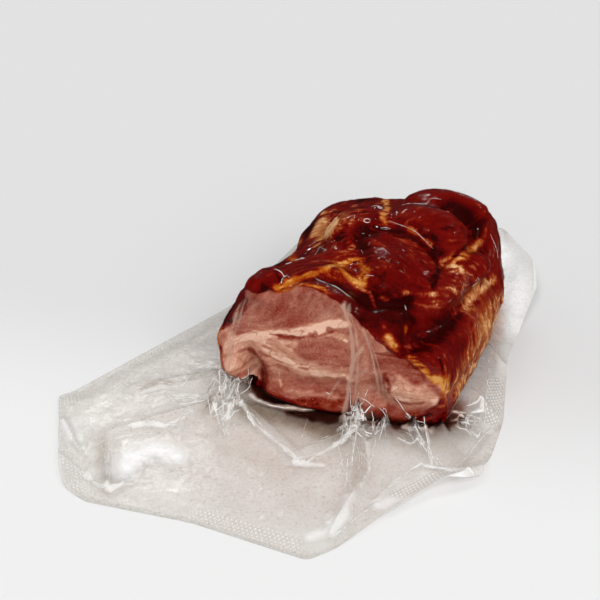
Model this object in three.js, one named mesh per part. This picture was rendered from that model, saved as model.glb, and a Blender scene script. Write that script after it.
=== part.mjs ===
// A block of smoked bacon, cut straight across at the front, lying in its clear vacuum bag.
// Millimetres. X runs to the right across the cut face, Y away from it, Z up; the bag lies on Z = 0.
import * as THREE from "three";

// The muscles of the block: centre, half sizes, turn about Z in degrees, blend with the rest,
// and corner radius, which is 0 for an ellipsoid and more for a rounded slab.
const LOBES = {
  base: [[-1, 58, 16], [45, 62, 15], -4, 6, 11],
  leftSide: [[-38, 22, 29], [20.5, 46, 18], -6, 8, 0],
  leftBack: [[-28, 74, 24], [18, 38, 22], 0, 8, 0],
  leanTop: [[-20, 4, 35], [27, 34, 26], 0, 6, 0],
  rightShelf: [[24, 34, 16], [20, 50, 20], -6, 6, 0],
  middle: [[10, 62, 34], [36, 52, 28], 0, 8, 0],
  leftMass: [[-6, 58, 48], [20, 22, 20], 0, 8, 0],
  brow: [[13, 36, 44], [22, 21, 18], -12, 5, 0],
  redLobe: [[19, 65, 50], [22, 19, 20], -10, 6, 0],
  topKnob: [[25.5, 84, 59.8], [20.5, 10, 9], -6, 3, 0],
  backCorner: [[39, 88, 30], [13, 22, 29], 0, 3, 0],
  flank: [[37, 50, 17], [16, 61, 19], -7, 5, 0],
  back: [[-4.5, 98, 26], [42, 26, 25.9], 0, 8, 0],
};

// Long folds of meat: start, end, radius at each, blend.
const STRIPS = {
  cornerKnob: [[-38, 1, 56], [-36, 7, 56], 6, 6, 2.5],
  topRoll: [[-35, 8, 50], [-18, 34, 49], 9, 8, 6],
  innerRoll: [[-20, 5, 53], [-11, 22, 51], 9, 8, 4],
  collar: [[-17, 7, 51], [16, 6, 35], 8, 8, 4],
  fold: [[14, 10, 42], [41, 60, 44], 8, 9.5, 3],
  flankRim: [[33, 6, 26], [46, 78, 26], 10, 8, 7],
  leftLow: [[-48.5, 2, 17.5], [-48, 40, 16], 7.5, 8, 4],
  rightFoot: [[37.5, 2, 8], [42, 38, 10], 7.2, 7.5, 4],
};

// Creases between the muscles: points along each, half width, depth.
const CREASES = {
  overFold: [[[41, 68, 53], [34, 52, 50], [27, 34, 50], [19, 16, 48]], 3, 3.5],
  underFold: [[[49, 60, 40], [42, 38, 38], [34, 14, 37], [26, 0, 37]], 4, 3],
  overBrow: [[[-6, 46, 64], [6, 53, 66], [20, 51, 64], [30, 46, 56]], 3, 2.5],
  leftOfBrow: [[[-30, -2, 58], [-20, 6, 60], [-8, 16, 60], [-3, 28, 60], [-6, 42, 62]], 4, 2.5],
  overCollar: [[[-14, 12, 58], [2, 14, 54], [14, 14, 48]], 3.5, 3],
  underKnob: [[[10, 68, 74], [26, 73, 68], [38, 74, 58], [44, 78, 50]], 3, 3],
  knobRecess: [[[28, 78, 66], [35, 77, 62.5], [40, 77.5, 57], [41, 79, 52]], 4, 3],
  backSide: [[[44, 78, 50], [48, 66, 42], [54, 70, 34]], 3, 2.5],
  betweenTops: [[[-2, 82, 66], [2, 62, 70], [0, 46, 66]], 3.5, 2],
  leftLong: [[[-56, 4, 36], [-50, 40, 34], [-46, 70, 40], [-38, 96, 34]], 6, 2.5],
  leftTop: [[[-36, 44, 46], [-34, 60, 50], [-30, 84, 48]], 5, 3],
  backLow: [[[40, 112, 20], [10, 122, 30], [-20, 122, 22], [-42, 104, 26]], 6, 3],
  backHigh: [[[30, 100, 46], [6, 108, 52], [-18, 104, 46]], 5, 2.5],
};

// Relief of the cut face: centre x and z, half sizes, turn in degrees, push into the meat.
const FACE_RELIEF = {
  notch: [[-41, 12], [3.5, 10], 14, 8],
  leftFat: [[-52, 14], [8, 7], 0, -2.5],
  crustLip: [[-18, 3], [26, 5], 0, -7],
  rightLip: [[20, 2], [22, 5], 0, -4],
  knobFront: [[-38, 56], [7, 7], 0, -4],
  leanHollow: [[-6, 44], [14, 8], 0, 1.5],
  fatLobe: [[28, 16], [12, 8], 0, -2],
  slit: [[14, 12], [5, 8], 20, 2.5],
  lens: [[-10, 24], [16, 7], -10, -1.2],
};
const RELIEF_REACH = 14;
const FLOOR = 1.3;
const AXIS_START = [-6, 0, 24];
const AXIS_END = [-2, 84, 30];
const MEAT_ROWS = { face: 6, body: 28, back: 14, around: 76 };

// The bag's outline on the table, corner by corner, and its film.
const OUTLINE = {
  leftFront: [-99, -79],
  frontTip: [12, -90.5],
  cornerFold: [46, -42],
  rightFront: [64, -24],
  rightSide: [67, 12],
  rightWaist: [62, 62],
  rightFlap: [66.5, 128],
  backRight: [43, 184],
  backLeft: [-52, 184],
  leftWaist: [-74, 70],
  leftEnd: [-123, -26],
};
const OUTLINE_STEPS = 112;
const BAG_CENTRE = [-2, 55];
const FILM = 1.0;
const PUFF = 0.7;
const CLEAR = 1.1;
const HUG = { low: 1.5, high: 19, step: 1.5 };
// Height of the film where it leaves the meat, and how far out it falls to the table.
const FOOT = { height: 5.5, fall: 7 };

// Folds of the film: start x, y and height, end x, y and height, half width.
const FILM_FOLDS = {
  leftKnot: [[-50, -3, 11], [-62, -17, 3], 4.5],
  leftKnotFront: [[-46, -8, 8], [-50, -24, 2], 4],
  leftKnotSide: [[-56, 2, 9], [-76, -6, 2], 4.5],
  longCrease: [[-62, 7, 4], [-94, -12, 2.5], 4],
  leftFoldTop: [[-54, -13, 3.5], [-92, -46, 3], 4.5],
  pinch: [[-91, -47, 3], [-78, -76, 4.5], 4],
  middleKnot: [[2, -9, 11], [10, -21, 4.5], 4.5],
  middleCrease: [[10, -21, 4], [18, -48, 2.5], 4],
  middleTail: [[18, -48, 2.5], [14, -80, 3], 5],
  pouchLeft: [[-43, -11, 4], [-11, -37, 3], 4],
  pouchRight: [[-11, -37, 3], [5, -20, 4], 4],
  pleatOne: [[20, -8, 8], [25, -26, 2.5], 4],
  pleatTwo: [[31, -6, 8], [40, -32, 3], 4],
  pleatThree: [[42, -3, 7], [52, -22, 2.5], 4.5],
  rightPleat: [[51, 22, 7], [63, 14, 2], 4.5],
  rightPleatBack: [[53, 58, 7], [62, 52, 2], 5],
  backPleatRight: [[34, 124, 9], [44, 152, 2], 6],
  backPleat: [[4, 128, 10], [6, 160, 2], 6],
  backPleatLeft: [[-30, 122, 9], [-38, 150, 2], 6],
  leftPleat: [[-52, 84, 8], [-64, 92, 2], 5],
};
// Parts of the film that stand off the table: along a line, lift at its two ends, reach across.
const LIFTS = {
  backFlap: [[70, 96, 4], [58, 178, 12], 15],
  cornerFlap: [[26, -72, 1], [52, -38, 7], 13],
  cornerTip: [[52, -38, 7], [68, -20, 4], 9],
  leftCurl: [[-124, -32, 4], [-104, -82, 7], 16],
};

const radians = (degrees) => (degrees * Math.PI) / 180;
const clamp = (v, low, high) => Math.min(high, Math.max(low, v));

function blendNear(d, e, blend) {
  const h = Math.max(blend - Math.abs(d - e), 0) / blend;
  return Math.min(d, e) - (h * h * blend) / 4;
}

function lobeDistance(p, [centre, radii, turn, , corner]) {
  const c = Math.cos(radians(turn));
  const s = Math.sin(radians(turn));
  const x = p[0] - centre[0];
  const y = p[1] - centre[1];
  const q = [x * c + y * s, -x * s + y * c, p[2] - centre[2]];
  if (corner > 0) {
    const a = q.map((v, i) => Math.abs(v) - radii[i] + corner);
    return Math.hypot(...a.map((v) => Math.max(v, 0))) + Math.min(Math.max(...a), 0) - corner;
  }
  const near = Math.hypot(...q.map((v, i) => v / radii[i]));
  const slope = Math.hypot(...q.map((v, i) => v / radii[i] ** 2)) + 1e-9;
  return (near * (near - 1)) / slope;
}

// Distance from p to the line a-b, and how far along the line the nearest point lies.
function toLine(p, a, b) {
  let dot = 0;
  let length = 0;
  for (let i = 0; i < p.length; i++) {
    dot += (p[i] - a[i]) * (b[i] - a[i]);
    length += (b[i] - a[i]) ** 2;
  }
  const s = clamp(dot / length, 0, 1);
  return [Math.hypot(...p.map((v, i) => v - a[i] - s * (b[i] - a[i]))), s];
}

function stripDistance(p, [a, b, startRadius, endRadius]) {
  const [away, s] = toLine(p, a, b);
  return away - (startRadius + (endRadius - startRadius) * s);
}

// Signed distance to the block's skin, below zero inside.
function field(p) {
  let d = Infinity;
  for (const lobe of Object.values(LOBES)) {
    const e = lobeDistance(p, lobe);
    d = d === Infinity ? e : blendNear(d, e, lobe[3]);
  }
  for (const strip of Object.values(STRIPS)) d = blendNear(d, stripDistance(p, strip), strip[4]);
  for (const [points, width, depth] of Object.values(CREASES)) {
    let near = Infinity;
    for (let i = 1; i < points.length; i++) near = Math.min(near, toLine(p, points[i - 1], points[i])[0]);
    d += depth * Math.exp(-((near / width) ** 2));
  }
  return Math.max(d, FLOOR - p[2]);
}

// Walks in from outside until the skin is met, and returns the distance from the start.
function reachOf(start, way) {
  let t = 115;
  for (let i = 0; i < 60; i++) {
    const p = start.map((v, k) => v + way[k] * t);
    t -= clamp(field(p), -0.5, 8) * 0.85;
  }
  return t;
}

function pushFace(p) {
  let total = 0;
  for (const [[cx, cz], [rx, rz], turn, push] of Object.values(FACE_RELIEF)) {
    const c = Math.cos(radians(turn));
    const s = Math.sin(radians(turn));
    const u = ((p[0] - cx) * c + (p[2] - cz) * s) / rx;
    const v = (-(p[0] - cx) * s + (p[2] - cz) * c) / rz;
    total += push * Math.exp(-(u * u + v * v));
  }
  return [p[0], p[1] + total * Math.exp(-p[1] / RELIEF_REACH), p[2]];
}

// Evens out a ring grid of distances where a ray grazes an overhang.
function evenOut(grid) {
  return grid.map((row, j) =>
    row.map((v, i) => {
      const side = (row[(i + 1) % row.length] + row[(i + row.length - 1) % row.length]) / 2;
      const up = grid[Math.max(j - 1, 0)][i];
      const down = grid[Math.min(j + 1, grid.length - 1)][i];
      return v * 0.5 + side * 0.25 + ((up + down) / 2) * 0.25;
    }),
  );
}

// Closes a stack of rings, first to last, with a point at each end. Rings turn the same way.
function closedRings(first, rings, last) {
  const around = rings[0].length;
  const points = [first, ...rings.flat(), last];
  const faces = [];
  for (let i = 0; i < around; i++) {
    const k = (i + 1) % around;
    faces.push([0, 1 + i, 1 + k]);
    for (let j = 0; j + 1 < rings.length; j++) {
      const a = 1 + j * around;
      const b = a + around;
      faces.push([a + i, b + k, a + k], [a + i, b + i, b + k]);
    }
    const a = 1 + (rings.length - 1) * around;
    faces.push([a + i, points.length - 1, a + k]);
  }
  return { points, faces };
}

function geometryOf({ points, faces }) {
  const geometry = new THREE.BufferGeometry();
  geometry.setAttribute("position", new THREE.Float32BufferAttribute(points.flat(), 3));
  geometry.setIndex(faces.flat());
  geometry.computeVertexNormals();
  return geometry;
}

function baconBlock() {
  const { face, body, back, around } = MEAT_ROWS;
  const mix = (s) => AXIS_START.map((v, i) => v + (AXIS_END[i] - v) * s);
  const ways = [];
  for (let i = 0; i < around; i++) {
    const u = (2 * Math.PI * i) / around;
    const a = u + 0.3 * Math.cos(u);
    ways.push([Math.cos(a), 0, Math.sin(a)]);
  }
  const starts = [];
  const tilts = [];
  for (let j = 0; j < body; j++) {
    starts.push(mix(j / (body - 1)));
    tilts.push(0);
  }
  for (let j = 1; j <= back; j++) {
    starts.push(AXIS_END);
    tilts.push((Math.PI / 2) * (j / (back + 1)));
  }
  const wayAt = (j, i) => {
    const c = Math.cos(tilts[j]);
    return [ways[i][0] * c, Math.sin(tilts[j]), ways[i][2] * c];
  };
  let reach = starts.map((start, j) => ways.map((_, i) => reachOf(start, wayAt(j, i))));
  reach = evenOut(reach);
  const skin = starts.map((start, j) =>
    ways.map((_, i) => {
      const [x, y, z] = start.map((v, k) => v + wayAt(j, i)[k] * reach[j][i]);
      return [x, y, Math.max(z, FLOOR)];
    }),
  );
  const rim = skin[0];
  const cut = [];
  for (let j = 1; j < face; j++) {
    cut.push(rim.map((p) => p.map((v, k) => AXIS_START[k] + (v - AXIS_START[k]) * (j / face))));
  }
  const pole = AXIS_END.map((v, k) => v + (k === 1 ? reachOf(AXIS_END, [0, 1, 0]) : 0));
  const rings = [...cut, ...skin].map((ring) => ring.map(pushFace));
  return closedRings(pushFace(AXIS_START), rings, pole);
}

// The outline as evenly spaced points, its corners eased.
function outlinePoints() {
  const corners = Object.values(OUTLINE);
  const lengths = corners.map((c, i) => {
    const n = corners[(i + 1) % corners.length];
    return Math.hypot(n[0] - c[0], n[1] - c[1]);
  });
  const whole = lengths.reduce((a, b) => a + b, 0);
  const points = [];
  for (let i = 0; i < OUTLINE_STEPS; i++) {
    let left = (whole * i) / OUTLINE_STEPS;
    let k = 0;
    while (left > lengths[k]) left -= lengths[k++];
    const a = corners[k];
    const b = corners[(k + 1) % corners.length];
    const s = left / lengths[k];
    points.push([a[0] + (b[0] - a[0]) * s, a[1] + (b[1] - a[1]) * s]);
  }
  const n = points.length;
  return points.map((p, i) =>
    p.map((v, k) => v * 0.5 + (points[(i + 1) % n][k] + points[(i + n - 1) % n][k]) * 0.25),
  );
}

// How far the meat reaches from the bag's centre in a direction, near the table.
function meatReach(way) {
  let most = 0;
  for (let z = HUG.low; z <= HUG.high; z += HUG.step) {
    const start = [BAG_CENTRE[0], BAG_CENTRE[1], z];
    let t = reachOf(start, [way[0], way[1], 0]);
    if (way[1] < 0) t = Math.min(t, BAG_CENTRE[1] / -way[1]);
    const p = pushFace([start[0] + way[0] * t, start[1] + way[1] * t, z]);
    most = Math.max(most, (p[0] - start[0]) * way[0] + (p[1] - start[1]) * way[1]);
  }
  return most;
}

function ridgeHeight(x, y) {
  let z = 0;
  for (const [a, b, width] of Object.values(FILM_FOLDS)) {
    const [away, s] = toLine([x, y], a.slice(0, 2), b.slice(0, 2));
    z = Math.max(z, (a[2] + (b[2] - a[2]) * s) * Math.exp(-((away / width) ** 2)));
  }
  return z;
}

function liftHeight(x, y) {
  let z = 0;
  for (const [a, b, across] of Object.values(LIFTS)) {
    const [away, s] = toLine([x, y], a.slice(0, 2), b.slice(0, 2));
    z = Math.max(z, (a[2] + (b[2] - a[2]) * s) * clamp(1 - away / across, 0, 1) ** 1.5);
  }
  return z;
}

function vacuumBag() {
  const outline = outlinePoints();
  const rays = outline.map((p) => {
    const x = p[0] - BAG_CENTRE[0];
    const y = p[1] - BAG_CENTRE[1];
    const length = Math.hypot(x, y);
    return { way: [x / length, y / length], length };
  });
  const bare = rays.map(({ way }) => meatReach(way));
  const n = bare.length;
  const foot = bare.map((v, i) => Math.max(v, bare[(i + 1) % n] - 0.4, bare[(i + n - 1) % n] - 0.4));
  const at = (i, r) => [BAG_CENTRE[0] + rays[i].way[0] * r, BAG_CENTRE[1] + rays[i].way[1] * r];
  const top = (i, r) => {
    const [x, y] = at(i, r);
    const out = r - foot[i];
    const rise = FOOT.height * Math.exp(-out / FOOT.fall);
    return [x, y, liftHeight(x, y) + FILM + PUFF * clamp(out / 6, 0, 1) + Math.max(rise, ridgeHeight(x, y))];
  };
  // Rings out from under the meat over the top, then back in along the underside.
  const shares = [0.03, 0.08, 0.14, 0.21, 0.3, 0.4, 0.52, 0.65, 0.78, 0.9, 1];
  const under = [...rays.keys()].map((i) => [...at(i, foot[i] + CLEAR), FILM]);
  const wall = [...rays.keys()].map((i) => top(i, foot[i] + CLEAR + 0.4));
  const rings = [under, wall];
  for (const share of shares) {
    rings.push(rays.map(({ length }, i) => top(i, foot[i] + 2 + (length - foot[i] - 2) * share)));
  }
  for (const share of [1, 0.9, 0.78, 0.52, 0.21]) {
    rings.push(
      rays.map(({ length }, i) => {
        const [x, y] = at(i, foot[i] + 2 + (length - foot[i] - 2) * share);
        return [x, y, liftHeight(x, y)];
      }),
    );
  }
  return closedRings([...BAG_CENTRE, FILM], rings, [...BAG_CENTRE, 0]);
}

const bacon = new THREE.Mesh(
  geometryOf(baconBlock()),
  new THREE.MeshStandardMaterial({ color: 0x7a2a1c, roughness: 0.35, metalness: 0 }),
);
bacon.name = "bacon";

const bag = new THREE.Mesh(
  geometryOf(vacuumBag()),
  new THREE.MeshStandardMaterial({
    color: 0xe4e0da,
    roughness: 0.15,
    metalness: 0,
    transparent: true,
    opacity: 0.35,
  }),
);
bag.name = "vacuum_bag";

// The frame's origin is the middle of the whole part's underside.
const group = new THREE.Group();
group.name = "vacuum_packed_bacon";
group.add(bacon, bag);
const box = new THREE.Box3().setFromObject(group);
const centre = box.getCenter(new THREE.Vector3());
for (const mesh of [bacon, bag]) mesh.position.set(-centre.x, -centre.y, 0);

export default group;
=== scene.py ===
import itertools
import math
from collections import namedtuple
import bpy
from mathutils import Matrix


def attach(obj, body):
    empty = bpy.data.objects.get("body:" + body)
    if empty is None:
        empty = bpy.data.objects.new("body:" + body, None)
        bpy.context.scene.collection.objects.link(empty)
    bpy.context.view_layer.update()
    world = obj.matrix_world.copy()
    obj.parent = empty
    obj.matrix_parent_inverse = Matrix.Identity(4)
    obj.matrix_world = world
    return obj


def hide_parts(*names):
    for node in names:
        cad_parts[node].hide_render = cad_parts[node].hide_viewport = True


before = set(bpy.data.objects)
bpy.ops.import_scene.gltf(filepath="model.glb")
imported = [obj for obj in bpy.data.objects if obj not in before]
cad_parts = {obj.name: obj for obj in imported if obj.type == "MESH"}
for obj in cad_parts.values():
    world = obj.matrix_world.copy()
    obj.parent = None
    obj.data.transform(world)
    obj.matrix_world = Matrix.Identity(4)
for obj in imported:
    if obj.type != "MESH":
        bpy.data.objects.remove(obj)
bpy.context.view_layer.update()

from types import SimpleNamespace

import bpy
import numpy as np
from mathutils import Vector
from mathutils.bvhtree import BVHTree

bl_info = {
    "name": "Vacuum-packed bacon",
    "blender": (4, 5, 0),
    "version": (1, 0, 0),
    "location": "3D View > Sidebar > Bacon",
    "description": "Builds a block of smoked bacon in its clear vacuum bag, with its stage",
    "category": "Object",
}

# The shape is worked out in millimetres: X right across the cut face, Y away from it, Z up.
# SHIFT moves it to the frame's origin, the middle of the whole part's underside.
MM = 0.001
SHIFT = np.array([27.216, -47.161, 0.0])

# Muscles: centre, half sizes, turn about Z in degrees, blend, corner radius (0 for an ellipsoid).
LOBES = {
    "base": ((-1, 58, 16), (45, 62, 15), -4, 6, 11),
    "left_side": ((-38, 22, 29), (20.5, 46, 18), -6, 8, 0),
    "left_back": ((-28, 74, 24), (18, 38, 22), 0, 8, 0),
    "lean_top": ((-20, 4, 35), (27, 34, 26), 0, 6, 0),
    "right_shelf": ((24, 34, 16), (20, 50, 20), -6, 6, 0),
    "middle": ((10, 62, 34), (36, 52, 28), 0, 8, 0),
    "left_mass": ((-6, 58, 48), (20, 22, 20), 0, 8, 0),
    "brow": ((13, 36, 44), (22, 21, 18), -12, 5, 0),
    "red_lobe": ((19, 65, 50), (22, 19, 20), -10, 6, 0),
    "top_knob": ((25.5, 84, 59.8), (20.5, 10, 9), -6, 3, 0),
    "back_corner": ((39, 88, 30), (13, 22, 29), 0, 3, 0),
    "flank": ((37, 50, 17), (16, 61, 19), -7, 5, 0),
    "back": ((-4.5, 98, 26), (42, 26, 25.9), 0, 8, 0),
}
# Long folds of meat: start, end, radius at each, blend.
STRIPS = {
    "corner_knob": ((-38, 1, 56), (-36, 7, 56), 6, 6, 2.5),
    "top_roll": ((-35, 8, 50), (-18, 34, 49), 9, 8, 6),
    "inner_roll": ((-20, 5, 53), (-11, 22, 51), 9, 8, 4),
    "collar": ((-17, 7, 51), (16, 6, 35), 8, 8, 4),
    "fold": ((14, 10, 42), (41, 60, 44), 8, 9.5, 3),
    "flank_rim": ((33, 6, 26), (46, 78, 26), 10, 8, 7),
    "left_low": ((-48.5, 2, 17.5), (-48, 40, 16), 7.5, 8, 4),
    "right_foot": ((37.5, 2, 8), (42, 38, 10), 7.2, 7.5, 4),
}
# Creases between the muscles: points along each, half width, depth.
CREASES = {
    "over_fold": (((41, 68, 53), (34, 52, 50), (27, 34, 50), (19, 16, 48)), 3, 3.5),
    "under_fold": (((49, 60, 40), (42, 38, 38), (34, 14, 37), (26, 0, 37)), 4, 3),
    "over_brow": (((-6, 46, 64), (6, 53, 66), (20, 51, 64), (30, 46, 56)), 3, 2.5),
    "left_of_brow": (((-30, -2, 58), (-20, 6, 60), (-8, 16, 60), (-3, 28, 60), (-6, 42, 62)), 4, 2.5),
    "over_collar": (((-14, 12, 58), (2, 14, 54), (14, 14, 48)), 3.5, 3),
    "under_knob": (((10, 68, 74), (26, 73, 68), (38, 74, 58), (44, 78, 50)), 3, 3),
    "knob_recess": (((28, 78, 66), (35, 77, 62.5), (40, 77.5, 57), (41, 79, 52)), 4, 3),
    "back_side": (((44, 78, 50), (48, 66, 42), (54, 70, 34)), 3, 2.5),
    "between_tops": (((-2, 82, 66), (2, 62, 70), (0, 46, 66)), 3.5, 2),
    "left_long": (((-56, 4, 36), (-50, 40, 34), (-46, 70, 40), (-38, 96, 34)), 6, 2.5),
    "left_top": (((-36, 44, 46), (-34, 60, 50), (-30, 84, 48)), 5, 3),
    "back_low": (((40, 112, 20), (10, 122, 30), (-20, 122, 22), (-42, 104, 26)), 6, 3),
    "back_high": (((30, 100, 46), (6, 108, 52), (-18, 104, 46)), 5, 2.5),
}
# Relief of the cut face: centre x and z, half sizes, turn in degrees, push into the meat.
FACE_RELIEF = {
    "notch": ((-41, 12), (3.5, 10), 14, 8),
    "left_fat": ((-52, 14), (8, 7), 0, -2.5),
    "crust_lip": ((-18, 3), (26, 5), 0, -7),
    "right_lip": ((20, 2), (22, 5), 0, -4),
    "knob_front": ((-38, 56), (7, 7), 0, -4),
    "lean_hollow": ((-6, 44), (14, 8), 0, 1.5),
    "fat_lobe": ((28, 16), (12, 8), 0, -2),
    "slit": ((14, 12), (5, 8), 20, 2.5),
    "lens": ((-10, 24), (16, 7), -10, -1.2),
}
RELIEF_REACH = 14
FLOOR = 1.3
AXIS_START = np.array([-6.0, 0.0, 24.0])
AXIS_END = np.array([-2.0, 84.0, 30.0])

# Fat that shows on the crust: points along each streak, half width, strength, tone (0 amber, 1 pale).
SKIN_FAT = {
    "tan_patch": (((-34, 84, 44), (-32, 74, 45), (-21, 53, 60)), 5.5, 1.12, 0.7),
    "grey_streak": (((-36, 95, 44), (-30, 92, 47), (-17, 57, 65), (-12, 51, 66)), 3.0, 0.55, 1.0),
    "top_streak": (((-6, 97, 54), (1, 68, 65), (1, 58, 66), (3, 55, 65)), 1.8, 1.0, 0.35),
    "thin_line": (((3, 56, 65.5), (12, 55, 65), (16, 54, 64), (20, 52, 62), (25, 50, 59.5)), 1.0, 0.85, 0.35),
    "blob": (((-8.5, 40, 59), (-8, 40.5, 59)), 1.4, 0.95, 0.9),
    "amber": (
        ((-30, 1, 58), (-26, 4, 59), (-22, 7, 60.5), (-18, 12, 60), (-14, 18, 60),
         (-11, 28, 57)), 1.7, 0.86, 0.1),
    "amber_halo": (((-25, 3, 59), (-16, 8, 60), (-9, 18, 58)), 5.0, 0.5, 0.05),
    "amber_rim": (
        ((-31, 0, 55), (-25, 0, 58.5), (-19, 0.5, 62), (-15, 1, 62), (-10, 2, 59.5)), 1.2, 0.85, 0.1),
    "yellow": (
        ((-12, 24, 58), (-9.6, 33, 55), (-5, 35, 56), (-3, 33, 56.5), (1.4, 26.5, 56.7),
         (0.4, 23.5, 54.8)), 2.6, 0.72, 0.08),
    "amber_low": (((-8, 22, 57), (-4, 21, 55.5), (1.2, 20.3, 53)), 2.4, 0.88, 0.1),
    "left_streaks": (((-38, 78, 42), (-28, 62, 54), (-14, 50, 61)), 11.0, 0.22, 0.35),
    "roll_streaks": (((-34, 22, 52), (-28, 34, 54)), 7.0, 0.22, 0.2),
    "brow_streaks": (((4, 42, 62), (18, 38, 60)), 7.0, 0.08, 0.2),
    "red_streaks": (((10, 62, 66), (30, 72, 64)), 8.0, 0.12, 0.1),
    "shelf_gold": (((18, 8, 43), (22, 10, 42), (26, 8, 39)), 1.5, 0.75, 0.1),
    "pale_rim": (
        ((-0.7, 19.3, 52), (5.3, 18, 51), (8.5, 14.5, 46.6), (12.3, 6, 47.5), (15, 3, 45)), 0.9, 0.8, 0.8),
    "shelf_bit": (((10.5, 17, 49.8), (13, 17.2, 49.6)), 1.6, 0.95, 0.8),
    "brow_bit": (((20, 19.3, 52.8), (21.8, 19.8, 52.6)), 1.3, 0.95, 0.8),
    "crease_fat": (((30.6, 47, 54), (34.3, 46.7, 52.6), (39.6, 46.9, 51.4)), 1.9, 0.95, 0.8),
    "corner_fat": (
        ((34.9, 49.8, 54.5), (38, 54.5, 54.4), (39.7, 64.8, 50.5), (41.6, 73, 49.4),
         (42.5, 79, 48.7)), 2.0, 0.85, 0.35),
    "fold_striae": (((36, 42.7, 52), (40, 44.7, 50), (43.5, 46.6, 47), (45.6, 55.8, 40)), 4.5, 0.31, 0.95),
    "fold_striae_low": (
        ((35, 33.7, 50), (38.7, 38, 47.6), (42, 46.4, 40.3), (41, 43, 37.6),
         (38, 34.7, 38)), 4.5, 0.31, 0.95),
    "fold_front": (((29, 26, 51), (33, 24, 47), (36, 26, 42)), 3.0, 0.34, 0.9),
    "flank_tan": (((46, 57.3, 39.2), (44.8, 53.8, 37), (44, 48, 36), (43.5, 41, 35)), 3.0, 0.9, 0.7),
    "flank_up": (((51, 73, 33.2), (48.5, 65.5, 35), (47, 58, 35.8)), 2.2, 0.85, 0.7),
    "flank_band": (
        ((54, 72, 24), (52.6, 54.5, 25), (51, 44.7, 24), (49, 33.8, 23), (47.5, 24, 22),
         (46.5, 14.6, 20)), 6.5, 0.5, 0.55),
    "flank_edge": (((56, 76, 20), (56, 62, 16), (53, 40, 12), (50, 22, 12), (47, 8, 14)), 7.0, 0.62, 0.6),
    "tuft": (((17.3, 0.8, 41.3), (19, 0.5, 39.8), (20.8, 1, 37.8)), 1.8, 0.9, 0.4),
    "tuft_right": (((24, 4, 36), (28, 8, 35)), 1.5, 0.7, 0.85),
    "orange_front": (((22, 0, 37), (27, 0, 34), (31.5, 0, 30), (36, 0, 25)), 2.2, 0.8, 0.0),
    "orange_corner": (((39, 0, 25), (44, 0.5, 21), (45.5, 1, 15)), 3.0, 1.0, 0.15),
    "rim_left": (((-57, 0, 36), (-58, 0, 30), (-59, 0, 22), (-57, 0, 14)), 2.6, 0.9, 0.1),
    "left_cheek": (((-38, 50, 42), (-42, 66, 36), (-45, 86, 30)), 3.0, 0.7, 0.2),
    "left_low": (((-56, 2, 12), (-54, 40, 10), (-46, 80, 10)), 6.0, 0.75, 0.7),
    "back_band": (((44, 108, 24), (10, 124, 22), (-30, 118, 20)), 6.0, 0.7, 0.6),
    "back_streak": (((20, 100, 52), (0, 110, 46), (-20, 106, 40)), 4.0, 0.75, 0.4),
}
# Dark cracks on the crust, their darkness painted shade in the cracks, in the recess under the knob and along
# the bottom lip: points along each, half width, strength.
CRACKS = {
    "over_fold": (((40, 62, 55.5), (36, 52.6, 55.5), (33.2, 47.7, 53), (31, 40, 54)), 1.1, 1.0),
    "over_fold_end": (((31, 40, 54), (30.8, 36, 55), (28.8, 28.7, 55)), 0.8, 0.6),
    # Painted shade in the recess between the knob and the red lobe.
    "recess": (((26, 77, 65.7), (32.8, 76.3, 64), (38.6, 76, 60), (40.5, 77.5, 56), (41, 79, 53)), 3.6, 0.95),
    "brow_top": (((-6.5, 45.8, 61.8), (-1, 48, 63), (6, 50.3, 63.3), (12, 50.7, 62.5)), 0.7, 0.5),
    "brow_side": (
        ((17.6, 48, 61.8), (23.4, 46.5, 59), (28.8, 41.6, 56.6), (31, 35, 54.7),
         (30.5, 27, 52.3)), 1.1, 0.75),
    "left_dark": (
        ((-16.6, 44.6, 60), (-11.4, 42, 60.5), (-8.2, 43.4, 60.8), (-5.4, 46.8, 62.4),
         (-1.6, 49.8, 63.4)), 2.4, 0.6),
    "under_fold": (
        ((47, 51.5, 34.5), (44, 42.8, 35), (40.5, 33, 35.3), (38, 23, 35), (35, 16, 34.7),
         (31.7, 12.8, 34.7)), 1.6, 0.8),
    "shelf": (
        ((18.7, 17, 47.3), (22.7, 12.3, 47), (25.5, 13.8, 42.5), (28, 15, 37), (29.8, 13.5, 35.4)), 0.8, 0.7),
    "knob_low": (
        ((-41.2, 0, 52.2), (-38.6, 0, 50.7), (-35, 0, 50.8), (-31.6, 0, 52.4), (-29.4, 0, 56.2)), 0.8, 0.8),
    "knob_back": (((-44, 4, 57), (-40, 8, 61), (-34, 8, 63), (-30, 5, 60), (-29, 2, 57)), 0.8, 0.75),
    "knob_dimple": (((-35.4, 0, 59.5), (-34.2, 0, 56.5), (-32.6, 0, 58)), 0.9, 0.8),
    # Painted shade along the bottom of the block.
    "lip": (((-38, 0, 1.5), (-20, 0, 1.5), (0, 0, 1.5), (20, 0, 1.5), (42, 0, 1.5)), 2.0, 0.8),
}
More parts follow.
